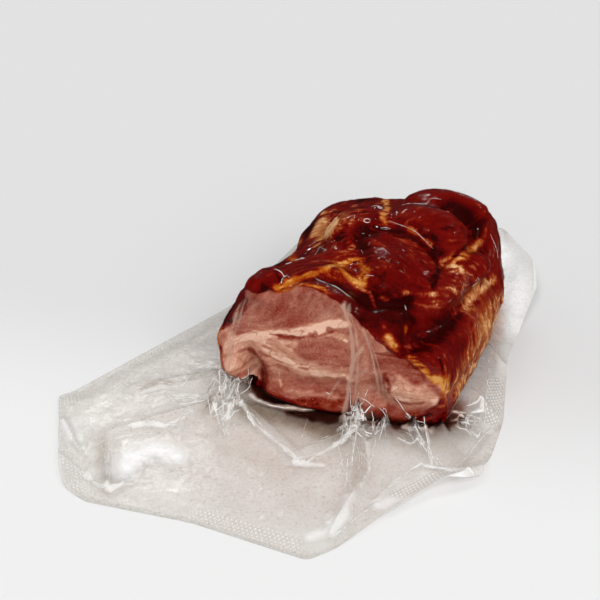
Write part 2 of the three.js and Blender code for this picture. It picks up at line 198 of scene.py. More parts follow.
# Parts of the crust: a spot, its reach, how smooth it is and how much paler or darker.
# The change is partly the crust's own tone and partly painted light: painted shade darkens the collar, the
# shelf, the lower brow, under the brow, the flank's front, the lip along the bottom and the bottom corner;
# painted light and sheen brighten the knob, the roll and the left edge.
CRUST_SPOTS = {
    # Painted shade on the collar's front-facing slope.
    "collar": ((6, 9, 46), 12, 0.85, -0.27),
    "collar_top": ((-8, 10, 54), 8, 0.7, 0.02),
    "shelf": ((22, 12, 44), 8, 0.5, -0.12),
    "red_lobe": ((24, 68, 66), 14, 0.4, 0.02),
    # Painted sheen on the knob.
    "knob": ((28, 84, 68), 12, 0.4, 0.12),
    "right_lobe": ((49, 82, 46), 13, 0.5, 0.07),
    "corner_knob": ((-38, 4, 58), 7, 0.6, -0.05),
    # Painted light on the left edge, which the lamps leave dark.
    "left_edge": ((-54, 4, 42), 14, 0.6, 0.07),
    "left_mass": ((-22, 62, 56), 18, 0.0, 0.05),
    # Painted sheen on the roll.
    "roll": ((-26, 28, 56), 12, 0.0, 0.08),
    "brow": ((14, 36, 60), 14, 0.2, -0.05),
    "brow_low": ((18, 26, 56), 7, 0.2, -0.09),
    "flank": ((51, 46, 24), 20, 0.5, 0.24),
    "collar_dark": ((18, 12, 45), 7, 0.6, -0.14),
    "under_brow": ((30, 30, 50), 8, 0.2, -0.03),
    "flank_front": ((44, 20, 30), 9, 0.4, -0.1),
    # Painted shade along the bottom lip and at the bottom corner.
    "lip": ((-16, 0, 1), 20, 0.6, -0.2),
    "corner": ((42, 0, 5), 9, 0.8, -0.14),
}
# The cut face, painted in order: points x, z along each band, half width, fat there (0 lean, 1 fat), edge.
FACE_BANDS = {
    "body_fat": (((-48, 24), (-20, 22), (20, 20), (40, 14)), 20, 0.84, 4),
    "top_lean": (((-44, 42), (-32, 50), (-18, 54), (-4, 52)), 11.5, 0.12, 1.6),
    "top_lean_low": (((-47, 35), (-34, 41), (-20, 45)), 4.5, 0.12, 1.4),
    "milky_side": (((0, 54), (4, 38), (6, 24), (5, 4)), 4.2, 0.34, 2.5),
    "milky_side_right": (((8, 50), (11, 36), (13, 22), (13, 6)), 3.6, 0.26, 3.0),
    "left_fat": (((-55, 26), (-53, 15), (-46, 16), (-40, 28)), 6.5, 0.82, 2.0),
    "left_fat_top": (((-54, 22), (-51, 15), (-46, 15)), 2.6, 0.95, 2.0),
    "band_fat": (
        ((-54, 26), (-49, 29), (-40, 33), (-33, 34.8), (-20, 38.4), (-11, 41.8), (-1, 44.6)), 2.3, 1.2, 0.9),
    "small_lens": (((-8, 40.2), (0, 40.6)), 1.2, 0.25, 0.7),
    "thin_lean": (((-33.5, 34.6), (-27, 34.2), (-20, 35.2), (-13, 38.3)), 0.5, 0.3, 0.5),
    "lens": (((-16, 30), (-8, 31.5), (0, 31)), 5.6, 0.14, 1.2),
    "lens_low": (((-10, 26), (-1, 26)), 3.2, 0.16, 1.2),
    "lens_tip": (((-22, 28.5), (-16, 30)), 1.2, 0.2, 0.8),
    "lens_edge": (((-12, 38.2), (-6, 38.4), (0, 36.6)), 0.6, 1.0, 0.5),
    "descend": (((-38, 29), (-30, 24.5), (-20, 19.5), (-8, 18.5), (0, 18)), 2.6, 1.12, 1.3),
    "lower_lean": (((-34, 10), (-24, 10.5), (-10, 11), (-2, 12)), 5.6, 0.24, 1.4),
    "lower_lean_left": (((-36, 16), (-35, 7)), 2.0, 0.26, 1.2),
    "lower_fat": (((-26, 8), (-14, 8.5), (-4, 8.5)), 0.9, 0.7, 0.8),
    "drip": (((-30, 16), (-29.5, 12), (-28.7, 9.5)), 0.7, 1.0, 0.5),
    "right_lean": (((15, 28.5), (20, 30), (25, 29), (30, 25.5)), 4.6, 0.08, 1.6),
    "right_lean_low": (((14, 22), (20, 22)), 2.4, 0.24, 1.4),
    "right_low": (((17, 8), (26, 7), (35, 10)), 4.5, 0.36, 1.6),
    "fat_lobe": (((24, 16.5), (31, 16), (38, 15.5)), 4.6, 0.92, 1.4),
    "fat_lobe_low": (((30, 12), (36, 12.5)), 2.0, 0.6, 1.4),
}
# Brown lines of the cut face: smoke stains and veins, and painted shade in the notch, along the bottom rim
# and under the left fat: points x, z, half width, strength.
FACE_STAINS_AND_SHADE = {
    # The notch lines are painted shade in the notch's slit.
    "notch": (((-42.5, 24), (-40, 20.5), (-38.6, 17.5), (-38, 13), (-38.5, 7)), 1.7, 1.0),
    "notch_inner": (((-38, 19), (-36, 14), (-35.5, 9), (-37, 5)), 1.5, 0.8),
    "notch_right": (((-38.5, 19), (-35, 17.6), (-31, 18.6), (-26, 18)), 1.0, 0.5),
    "notch_shade": (((-39, 22), (-35, 14), (-36, 6)), 3.0, 0.3),
    "band_under": (((-30, 32.8), (-20, 35), (-12, 37.2), (-6, 39.6)), 0.45, 0.5),
    "left_rim": (((-56, 33), (-58.5, 26), (-58.5, 18), (-55, 12)), 2.2, 0.42),
    # Painted shade along the bottom rim.
    "rim_dark": (((-38, 3), (-32, 2.5), (-21, 2.5), (-11, 4.5), (0, 4), (12, 3)), 2.0, 1.0),
    "rim": (((-38, 7), (-32, 5), (-21, 5), (-11, 7), (0, 6.5), (10, 5.5)), 1.5, 0.72),
    "rim_warm": (((-38, 10), (-30, 8), (-20, 8), (-8, 10), (4, 9)), 1.8, 0.24),
    "right_lean": (((15, 28), (22, 29), (29, 26)), 4.0, 0.22),
    "right_foot": (((14, 4), (22, 3.5), (32, 6)), 2.4, 0.6),
    "lip_left": (((-39, 10), (-37.5, 6), (-34, 3)), 1.8, 0.6),
    "speckle": (((17.4, 21.5), (19.5, 18.5), (18.6, 15.5), (20.5, 12.5)), 1.0, 0.8),
    "speckle_low": (((20.5, 12.5), (24, 11.2), (29, 11.2), (34, 13)), 1.0, 0.7),
    "speckle_end": (((17, 24), (16.4, 19), (17.6, 14)), 0.7, 0.5),
    "lobe_low": (((20, 7), (28, 6.5), (36, 9)), 2.0, 0.4),
    "orange_right": (((22, 35), (27, 33), (32, 28), (37, 22), (42, 18)), 1.8, 0.6),
    # Painted shade under the left fat.
    "left_under": (((-53, 10.5), (-48, 11), (-43, 12.5)), 1.1, 0.45),
    "left_veins": (((-55, 20), (-50, 21.5), (-45, 24)), 0.6, 0.45),
    "left_veins_low": (((-52, 12), (-48, 14.5), (-43, 17)), 0.5, 0.4),
    "swirl_a": (((-38.5, 24.5), (-35, 23), (-31, 21.5), (-27, 21), (-22, 20), (-17, 19.8)), 0.4, 0.45),
    "swirl_b": (((-37, 28), (-33, 27.4), (-29, 25), (-24, 24.4), (-21, 23.6)), 0.4, 0.42),
    "swirl_c": (((-34, 32), (-29, 31), (-25, 29.6)), 0.35, 0.34),
    "thin_lean": (((-33.5, 34.4), (-27, 33.8), (-20, 34.6), (-13, 37.6)), 0.4, 0.42),
    "band_top": (((-49, 31.4), (-40, 35.3), (-33, 36.9), (-20, 40.6), (-11, 44)), 0.5, 0.4),
    "left_spot": (((-56, 31), (-54, 29), (-55.5, 25)), 1.2, 0.5),
    "lean_edge": (((12, 33), (18, 34.2), (24, 33.4)), 0.8, 0.5),
}
# How far the crust laps over the edge of the cut face: spot x, z, spread, width.
FACE_RIM = {
    "left_upper": ((-51, 42), 9, 4.5),
    "left_lower": ((-58, 22), 12, 1.6),
    "knob": ((-36.5, 60), 5.5, 10.5),
    "bottom": ((-18, 1), 18, 1.2),
    "bottom_right": ((22, 0), 12, 3.2),
    "corner": ((43, 2), 10, 10.5),
    "right": ((43, 21), 5, 1.8),
    "collar": ((15, 41), 5, 5.0),
    "shoulder": ((40, 32), 6, 9),
}
# Crust that covers part of the cut: points x, z along each, half width.
FACE_LAPS = {
    "shoulder": (((20, 39), (29, 36.5), (35, 31), (40, 26.5), (46, 25)), 4.1),
    "corner": (((50, 20), (44, 9), (38, 2), (30, -2.5)), 6.2),
}
# Run of the meat's fibres: a spot, its reach and the fibres' direction there.
FIBRES = {
    "left_mass": ((-20, 60, 56), 22, (0.95, 0.3, -0.1)),
    "left_side": ((-50, 40, 30), 26, (0.1, 0.9, 0.3)),
    "roll": ((-24, 26, 56), 16, (0.5, 0.85, 0.0)),
    "streak": ((-6, 28, 55), 12, (0.9, 0.4, 0.1)),
    "brow": ((14, 36, 60), 18, (0.7, -0.7, 0.0)),
    "red_lobe": ((20, 66, 64), 18, (0.5, 0.8, -0.2)),
    "knob": ((26, 84, 68), 14, (0.95, 0.2, 0.0)),
    "right_lobe": ((50, 80, 46), 16, (0.1, 0.3, 0.95)),
    "fold": ((32, 36, 48), 16, (0.2, 0.95, -0.3)),
    "flank": ((52, 44, 26), 26, (0.3, -0.3, -0.9)),
    "collar": ((4, 12, 48), 14, (0.85, 0.3, -0.45)),
    "back": ((0, 110, 30), 40, (0.6, 0.1, 0.8)),
}
# Run of the grain on the cut face.
FACE_RUN = {
    "left": ((-50, 0, 20), 12, (0.35, 0, 1.0)),
    "left_top": ((-48, 0, 32), 8, (1.0, 0, 0.35)),
    "band": ((-20, 0, 38), 12, (1.0, 0, 0.2)),
    "swirl": ((-30, 0, 26), 11, (1.0, 0, -0.5)),
    "low": ((-10, 0, 19), 11, (1.0, 0, -0.1)),
    "lower_lean": ((-18, 0, 9), 9, (1.0, 0, 0.05)),
    "top_lean": ((-22, 0, 52), 12, (0.25, 0, 1.0)),
    "right": ((22, 0, 27), 10, (1.0, 0, -0.35)),
    "lobe": ((30, 0, 15), 10, (0.9, 0, 0.45)),
    "milky": ((7, 0, 32), 8, (0.15, 0, 1.0)),
}
# Milky lines in the film over the cut face: points x, z, half width, strength.
FACE_HAZE = {
    "left_veil": (((-43, 50), (-46, 40), (-49, 31), (-51, 16)), 4.0, 0.03),
    "left_line": (((-46, 52), (-49, 40), (-52, 28), (-53, 12)), 0.6, 0.4),
    "left_line_b": (((-44, 52), (-47, 40), (-50.5, 28), (-52, 14)), 0.5, 0.34),
    "left_line_c": (((-40, 50), (-42, 42), (-43, 36)), 0.4, 0.2),
    "low_twin": (((-7, 8), (-3, 16), (2, 22)), 0.4, 0.24),
    "top_veil": (((-16, 54), (-13, 48), (-8, 44), (-5, 48)), 4.0, 0.03),
    "middle_veil": (((1, 42), (4, 36), (6, 20), (6, 2)), 4.0, 0.05),
    "right_veil": (((9, 36), (12, 32), (14, 20), (14, 4)), 3.0, 0.024),
    "middle_line": (((-2, 54), (1, 44), (2.5, 36), (3, 26), (1.5, 16), (1, 4)), 0.8, 0.42),
    "middle_twin": (((0, 53), (3.5, 43), (5, 33), (5, 20), (4, 6)), 0.5, 0.3),
    "fan": (((2, 24), (4, 30), (7, 35)), 0.8, 0.42),
    "fan_low": (((1.5, 16), (5, 21), (9, 24)), 0.6, 0.3),
    "right_line": (((7, 44), (10.6, 33), (13.3, 21.5), (14.5, 10)), 0.6, 0.34),
    "right_twin": (((8, 42), (12.5, 32), (15.5, 22), (17, 10)), 0.4, 0.26),
    "lean_lines": (((-16, 58), (-14.5, 47)), 0.6, 0.12),
    "lean_lines_b": (((-12, 57), (-10, 48)), 0.6, 0.1),
    "lean_fork": (((-6, 52), (-9, 47), (-13, 44)), 1.2, 0.1),
    "low_middle": (((6, 12), (8, 2)), 5.0, 0.1),
}

# The bag: its outline on the table, corner by corner, and its film.
OUTLINE = {
    "left_front": (-101.5, -71.5),
    "left_front_low": (-96, -80),
    "front_left": (-84, -85),
    "front": (-40, -85),
    "front_tip": (9, -92.5),
    "tip_right": (17, -84),
    "flap_low": (31, -62),
    "corner_fold": (46, -42.5),
    "right_front": (64, -30),
    "right_corner": (66, -8),
    "right_side": (67, 12),
    "right_waist": (62, 62),
    "right_flap": (68, 118),
    "right_flap_end": (66, 134),
    "back_right": (43, 184),
    "back_left": (-52, 184),
    "left_waist": (-74, 70),
    "left_end": (-123, -26),
}
BAG_CENTRE = np.array([-2.0, 55.0])
DOME_CENTRE = np.array([*BAG_CENTRE, 5.0])
FILM = 1.0
PUFF = 0.7
FOOT = {"height": 5.5, "front": 2.0, "fall": 7.0}
# Folds of the film: start x, y and height, end x, y and height, half width.
FILM_FOLDS = {
    "left_knot": ((-55, 0, 10), (-57.5, -13, 4), 4),
    "left_knot_front": ((-57.5, -13, 4), (-52, -26, 1.5), 4),
    "left_knot_right": ((-42, 3, 9), (-48, -6, 5.5), 3.5),
    "left_knot_tail": ((-48, -6, 5.5), (-43.5, -20, 2.5), 3.5),
    "lip_ridge": ((-43, -11, 2.2), (-9, -12.6, 2.2), 2.0),
    "left_knot_side": ((-56, 2, 9), (-76, -6, 2), 4.5),
    "long_crease": ((-62, 7, 4), (-94, -12, 2.5), 4),
    "left_fold_top": ((-54, -13, 3.5), (-92, -46, 3), 4.5),
    "pinch": ((-91, -47, 3), (-78, -76, 4.5), 4),
    "middle_knot": ((6.5, -3, 9), (7.5, -12, 5), 4),
    "middle_knot_front": ((7.5, -12, 5), (5, -20, 3), 4),
    "middle_crease": ((10, -21, 4), (18, -48, 2.5), 4),
    "middle_tail": ((18, -48, 2.5), (14, -80, 3), 5),
    "pouch_left": ((-43, -11, 4), (-11, -37, 3), 4),
    "pouch_right": ((-11, -37, 3), (5, -20, 4), 4),
    "pleat_one": ((20, -8, 8), (25, -26, 2.5), 4),
    "pleat_two": ((31, -6, 8), (40, -32, 3), 4),
    "pleat_three": ((42, -3, 7), (52, -22, 2.5), 4.5),
    "right_pleat": ((51, 22, 7), (63, 14, 2), 4.5),
    "right_pleat_back": ((53, 58, 7), (62, 52, 2), 5),
    "back_pleat_right": ((34, 124, 9), (44, 152, 2), 6),
    "back_pleat": ((4, 128, 10), (6, 160, 2), 6),
    "back_pleat_left": ((-30, 122, 9), (-38, 150, 2), 6),
    "left_pleat": ((-52, 84, 8), (-64, 92, 2), 5),
}
# Parts of the film that stand off the table: along a line, lift at its two ends, reach across.
LIFTS = {
    "back_flap": ((70, 96, 4), (58, 178, 12), 15),
    "corner_flap": ((26, -72, 1), (52, -38, 7), 13),
    "corner_tip": ((52, -38, 7), (68, -20, 4), 9),
    "left_curl": ((-124, -32, 4), (-104, -82, 7), 16),
}
# Where the film is gathered: middle x, y, reach, height, creases.
KNOTS = {
    "left": ((-52, -4), 8.5, 5.0, 34),
    "left_front": ((-49, -16), 8.5, 3.0, 26),
    "middle": ((6.5, -10), 5.5, 4.0, 26),
    "middle_front": ((8, -18), 6.5, 2.5, 24),
    "middle_right": ((18, -12), 6, 1.5, 8),
    "right": ((36, -8), 6, 1.2, 4),
    "right_corner": ((52, 3), 6, 1.8, 6),
}
# Folds of gathered film that show as white lines, their whiteness partly painted highlight: points x, y and
# height, radius.
KNOT_FOLDS = {
    "left_edge": (((-56.8, 0.9, 9), (-57.6, -6.7, 6), (-57.6, -14.6, 4), (-52, -25.7, 1.5)), 0.3),
    "left_middle": (((-54.6, -5.9, 6), (-51.8, -12.9, 4), (-47.9, -21.7, 1.5)), 0.3),
    "left_cord": (((-55, 2.2, 9), (-47.8, -5.5, 5.5)), 0.4),
    "left_cord_right": (((-41.4, 6.1, 9), (-44.8, 0.9, 7), (-47.8, -5.5, 5.5)), 0.35),
    "left_tail": (((-47.2, -6.1, 5.5), (-44.5, -10, 4.5), (-42.9, -16.4, 3), (-44.4, -21.4, 2)), 0.4),
    "left_inner": (((-56.1, -16.4, 4), (-51.9, -20.4, 3.5), (-49.9, -18.4, 3), (-43.9, -17.5, 2.5)), 0.25),
    "left_reach": (((-65.4, -16.3, 2), (-61.6, -15.1, 3), (-57.9, -13.9, 4)), 0.25),
    "left_stub": (((-39.6, -17, 2.5), (-36.6, -20.6, 2), (-33.1, -24.6, 1.5)), 0.5),
    "left_top": (((-57.3, -7.4, 6.5), (-54.4, -6.5, 6.5), (-53.2, -3.1, 6), (-49.8, -3.8, 5.5)), 0.25),
    "left_cross": (
        ((-57.4, -15.2, 4.5), (-54.8, -12.2, 4.5), (-51.6, -13.5, 4.5), (-49.4, -9.1, 5),
         (-47.8, -5.5, 5.5)), 0.3),
    "left_foot": (
        ((-52, -25.7, 1.5), (-50.6, -21.7, 2), (-47.9, -21.7, 1.5), (-44.4, -21.4, 2),
         (-42.9, -16.4, 3)), 0.25),
    "middle_string": (
        ((15.1, -1.8, 8), (18.7, -4, 5), (19.5, -8.4, 3), (19.6, -16.3, 2), (19.8, -20, 2)), 0.3),
    "middle_cords": (((12.6, -4.2, 8), (14.1, -7.6, 5), (15, -12.4, 3), (16.9, -16, 2)), 0.35),
    "middle_bundle": (((12.1, -2.3, 9), (10.2, -5.5, 8), (9.3, -7.2, 7)), 0.5),
    "middle_arc": (((5.7, -1.4, 11), (9.2, -1.9, 11), (12.6, -3, 10), (13.6, -3, 9)), 0.25),
    "middle_low": (((10.4, -15.6, 1.5), (14, -15.1, 1.5), (16.1, -15.6, 1.5), (14.9, -18.7, 1.5)), 0.45),
    "middle_foot": (((7.8, -17.4, 1.5), (10.5, -19.9, 1.5), (13.3, -20.7, 1.5)), 0.4),
    "right_line": (
        ((24.7, -1.2, 8), (30, -3.3, 6), (33.9, -0.9, 5), (36.5, -6.7, 4), (39.8, -16, 3), (43.8, -24.8, 2),
         (48.5, -30, 2)), 0.4),
    "right_twin": (((26.6, -3.3, 7), (32.1, -4.3, 6), (36.1, -5, 5), (38.9, -14, 3), (41.7, -25.4, 2)), 0.25),
    "right_tail": (((43, -20.6, 2), (44.6, -21.6, 2), (45.6, -24.3, 2), (47.4, -26.7, 2)), 0.25),
}
# Fans of straight creases that run out from the knots: start x, y, end x, y, spread, how many.
RAYS = {
    "middle": ((9, -20), (17, -52), 5.0, 12),
    "middle_left": ((4, -18), (-6, -32), 3.0, 5),
    "pleats": ((27, -8), (41, -26), 4.0, 7),
    "left": ((-50, -20), (-38, -36), 4.0, 6),
    "left_out": ((-58, -8), (-78, -14), 4.0, 6),
    "corner": ((47, 0), (60, 6), 4.0, 6),
}
# The middle knot stands up between two edges, laced across: points x, y and height along each edge.
TANGLE = (
    ((4.3, -5.1, 9), (5.3, -11.5, 6), (3.2, -15.2, 5), (2.6, -19.3, 3)),
    ((8.2, -5.5, 8), (10.4, -8.9, 6), (9.7, -14.2, 4), (7.5, -19, 3)),
)
# Pools of meat juice under the film, with painted shadow under the meat's front lip: points x, y along each,
# half width, strength.
JUICE_AND_SHADOW_POOLS = {
    "lip": (((-36, -2), (-28, -3.5), (-19, -3), (-11, -3)), 3.2, 1.0),
    "pocket_left": (((-22, -10), (-16, -10), (-10, -9)), 2.4, 0.7),
    "pocket": (((-10, -9), (-4, -9.5), (3, -7)), 4.0, 1.0),
    "pocket_right": (((12, -4), (16, -6), (22, -6)), 4.6, 1.0),
    "corner": (((30, -3), (41, -1), (47, 4)), 4.0, 0.8),
}
# Painted light and shade of the film on the table: points x, y along each, half width, painted highlight or
# light laid on as milky film (above 0) or painted shade.
# The patch, glows and bright lines are painted glare and glints on folds, the flaps, tip and strips are
# brightened by painted light, and the dark lines, pouch and lip tent are painted shade and shadow.
FILM_LIGHT_AND_SHADE = {
    "left_crease": (((-90, -12), (-82.5, -6), (-73, -4), (-69, 4)), 0.9, -0.6),
    "left_crease_lit": (((-89, -14.5), (-82, -8.5), (-73, -6.5), (-67, 1)), 1.0, 0.5),
    "pinch": (((-92, -50), (-86.7, -61.4), (-78, -77)), 3.2, -0.35),
    "pouch": (((-26, -13), (-13, -12), (3, -13.5)), 6.0, -0.4),
    "pouch_low": (((-32.5, -16.6), (-19, -27), (-11, -33), (-2, -26)), 4.0, -0.18),
    "knot_foot": (((-57, -16), (-54, -20)), 4.0, -0.4),
    "knot_left": (((-60, -8), (-54, -4)), 5.0, -0.25),
    "knot_middle": (((0, -12), (8, -14)), 5.0, -0.35),
    "under_right": (((42, -1), (29, -2), (19, -5), (4, -10)), 5.0, -0.55),
    "right_middle": (((44, -13), (53, -19)), 6.0, -0.22),
    "right_fold": (((55, -28), (57.4, -19.4), (60.5, -8.3), (62, -1.6), (66.3, 8)), 1.2, -0.3),
    "right_side": (((53, 30), (57, 60)), 4.0, -0.1),
    "left_end_seam": (((-107, -64), (-98, -76), (-88, -81)), 4.0, 0.5),
    "left_glow": (((-106, -40), (-101, -60)), 9.0, 0.4),
    "left_glow_low": (((-98, -66), (-84, -72), (-66, -66)), 7.0, 0.35),
    "middle": (((-56, -30), (-44, -38), (-20, -48)), 9.0, -0.1),
    "ray_shade": (((12, -22), (17, -38), (15, -54)), 3.0, -0.3),
    "ray_lit": (((15, -22), (20, -38), (19, -50)), 1.0, 0.5),
    "band": (((-83, -38.5), (-76, -35.6), (-70, -34.2), (-64, -27)), 1.1, 0.8),
    "patch": (((-76, -66), (-75, -56), (-68, -48), (-58, -52)), 7.5, 1.0),
    "end_curve": (((-113, -42.5), (-104, -53), (-97.6, -57.4)), 1.4, 0.9),
    "end_line": (((-96, -69.4), (-84, -75.6), (-76, -78), (-73, -73.5)), 1.0, 0.8),
    "end_stripes": (((-122, -27), (-114, -20)), 4.0, 0.4),
    "pouch_edge": (
        ((-43.5, -11.3), (-34.4, -22.2), (-24, -30), (-10.4, -39.6), (-1.4, -33.2), (4.3, -25.5),
         (8.6, -17)), 0.8, 0.7),
    "pouch_foot": (((-10, -41.4), (0, -39.8)), 1.7, 0.8),
    "curl": (((27.7, -7.7), (32, -12.1), (38, -16), (36.7, -19), (32.5, -18.7), (26.9, -15.9)), 0.8, 0.9),
    "curl_shade": (((29, -12), (33, -16)), 2.2, -0.45),
    "lip_line": (((-41, -5), (-37, -7), (-30, -8.6), (-19, -7.2), (-13, -6.2)), 0.9, 0.6),
    "lip_tent": (((-38, -12), (-28, -13), (-20, -14), (-8, -16), (2, -18)), 7.5, -1.0),
    "corner_loop": (((53.1, 15.5), (56.4, 19), (57.3, 13.4), (53.6, 9.1)), 0.9, 1.0),
    "corner_shade": (((38, -4), (45, 2), (48, 9)), 3.4, -0.3),
    "pleat": (((31, 4.6), (37.4, -6.6), (43.3, -27.4)), 0.7, 0.7),
    "fan": (((48.4, -1.9), (52.8, -2.5), (55.4, -4.1)), 0.7, 0.8),
    "fan_low": (((53.6, -1.5), (58.2, -4), (59.1, -0.7)), 0.7, 0.8),
    "fan_high": (((45.6, 5.5), (48, 5.9), (51.2, 6.8)), 0.6, 0.7),
    "front_glow": (((-30, -62), (0, -70), (8, -60)), 12.0, 0.12),
    "flap_edge": (((25.4, -55.4), (30, -43), (36.2, -32.4), (45.4, -28.8), (60.5, -31.3)), 0.8, 0.8),
    "flap": (((30, -56), (42, -40), (56, -35)), 6.0, 0.9),
    "tip": (((7, -82), (14.3, -78), (16.6, -68.7), (15.3, -56.5)), 3.0, 0.8),
    "tip_glow": (((2, -84), (12, -84)), 6.0, 0.4),
    "back_flap": (((47, 159), (61, 111), (66, 86)), 20.0, 1.0),
    "right_strip": (((62, 70), (61, 30), (62, 4)), 5.0, 0.6),
    "left_seam": (((-119, -19), (-104, 10), (-83, 46)), 5.0, 0.2),
}
# Where the seam's emboss shows clearly: points x, y along each, half width.
EMBOSSED = {
    "left_end": (((-106, -66), (-92, -76)), 9),
    "end_stripes": (((-121, -32), (-114, -22)), 5),
    "front": (((-36, -83), (0, -87)), 6),
    "flap": (((34, -46), (46, -33)), 6),
    "right": (((60, 36), (61, 12)), 6),
    "left_top": (((-104, 8), (-84, 44)), 5),
}
# Creases of the film on the table, drawn as white lines that are partly painted highlight: points x, y,
# radius.
SHEET_CREASES = {
    "long": (((-95, -14), (-89, -11), (-84, -7), (-75, -4), (-72, 4), (-65, 8)), 0.35),
    "seam_left": (((-73, 41), (-77, 33), (-82, 23), (-94, 1), (-101, -11), (-105, -19)), 0.3),
    "fork": (((-78, -12), (-72, -17), (-68, -18), (-61, -12), (-59, -9)), 0.35),
    "fork_low": (((-72, -17), (-64, -22), (-60, -23)), 0.3),
    "bright": (((-84, -40), (-79, -36), (-74, -34), (-66, -33), (-64, -26), (-61, -21)), 0.5),
    "bright_low": (((-89, -50), (-82, -44), (-74, -41), (-69, -38), (-66, -33)), 0.3),
    "pinch_left": (((-92, -51), (-86, -61), (-78, -76)), 0.35),
    "pinch_right": (((-89, -50), (-84, -61), (-77, -76)), 0.35),
    "pinch_top": (((-97, -47), (-92, -51), (-89, -50)), 0.3),
    "end_curve": (((-106, -64), (-97, -68), (-90, -72), (-82, -77), (-78, -78), (-74, -75), (-72, -70)), 0.4),
    "end_line": (((-113, -42), (-108, -48), (-102, -55), (-97, -59)), 0.45),
    "pouch": (((-41, -16), (-34, -20), (-23, -31), (-9, -41), (-3, -35), (1, -29), (5, -23)), 0.45),
    "pouch_middle": (((-10, -39), (-12, -28), (-13, -13)), 0.2),
    "ray_a": (((4, -27), (9, -39), (16, -53), (16, -63)), 0.3),
    "ray_b": (((15, -9), (18, -21), (19, -34), (19, -44)), 0.3),
    "ray_c": (((4, -23), (12, -15), (18, -17)), 0.35),
    "ray_d": (((13, -28), (19, -35), (19, -45), (17, -48)), 0.25),
    "loop": (((17, 0), (19, -4), (20, -11), (22, -19)), 0.35),
    "curl": (((27.7, -7.7), (32, -12.1), (38, -16), (36.7, -19), (32.5, -18.7), (26.9, -15.9)), 0.5),
    "pleat_tail": (((44, -25), (48, -29), (54, -29)), 0.3),
    "flap_edge": (
        ((26, -55), (28, -49), (33, -40), (37, -32), (43, -29), (49, -29), (54, -29), (60, -31)), 0.35),
    "tip_a": (((9, -82), (15, -80), (18, -74), (20, -66), (18, -60)), 0.3),
    "tip_b": (((15, -82), (18, -75), (22, -66), (27, -56)), 0.3),
    "right_fold": (((53, -30), (56, -20), (60, -4), (63, 4)), 0.3),
    "seam_right": (((60, 2), (58, 21), (56, 39), (53, 63)), 0.25),
    "fan_a": (((45.6, 5.5), (48, 5.9), (51.2, 6.8)), 0.4),
    "fan_b": (((48.4, -1.9), (52.8, -2.5), (55.4, -4.1)), 0.5),
    "fan_c": (((50.6, 1.8), (53.2, 0.9)), 0.5),
    "fan_d": (((53.6, -1.5), (58.2, -4), (59.1, -0.7)), 0.35),
    "corner_loop": (((49.5, 10.6), (51.9, 13.8), (53.1, 15.5), (56.4, 19), (57.3, 13.4), (53.6, 9.1)), 0.5),
}
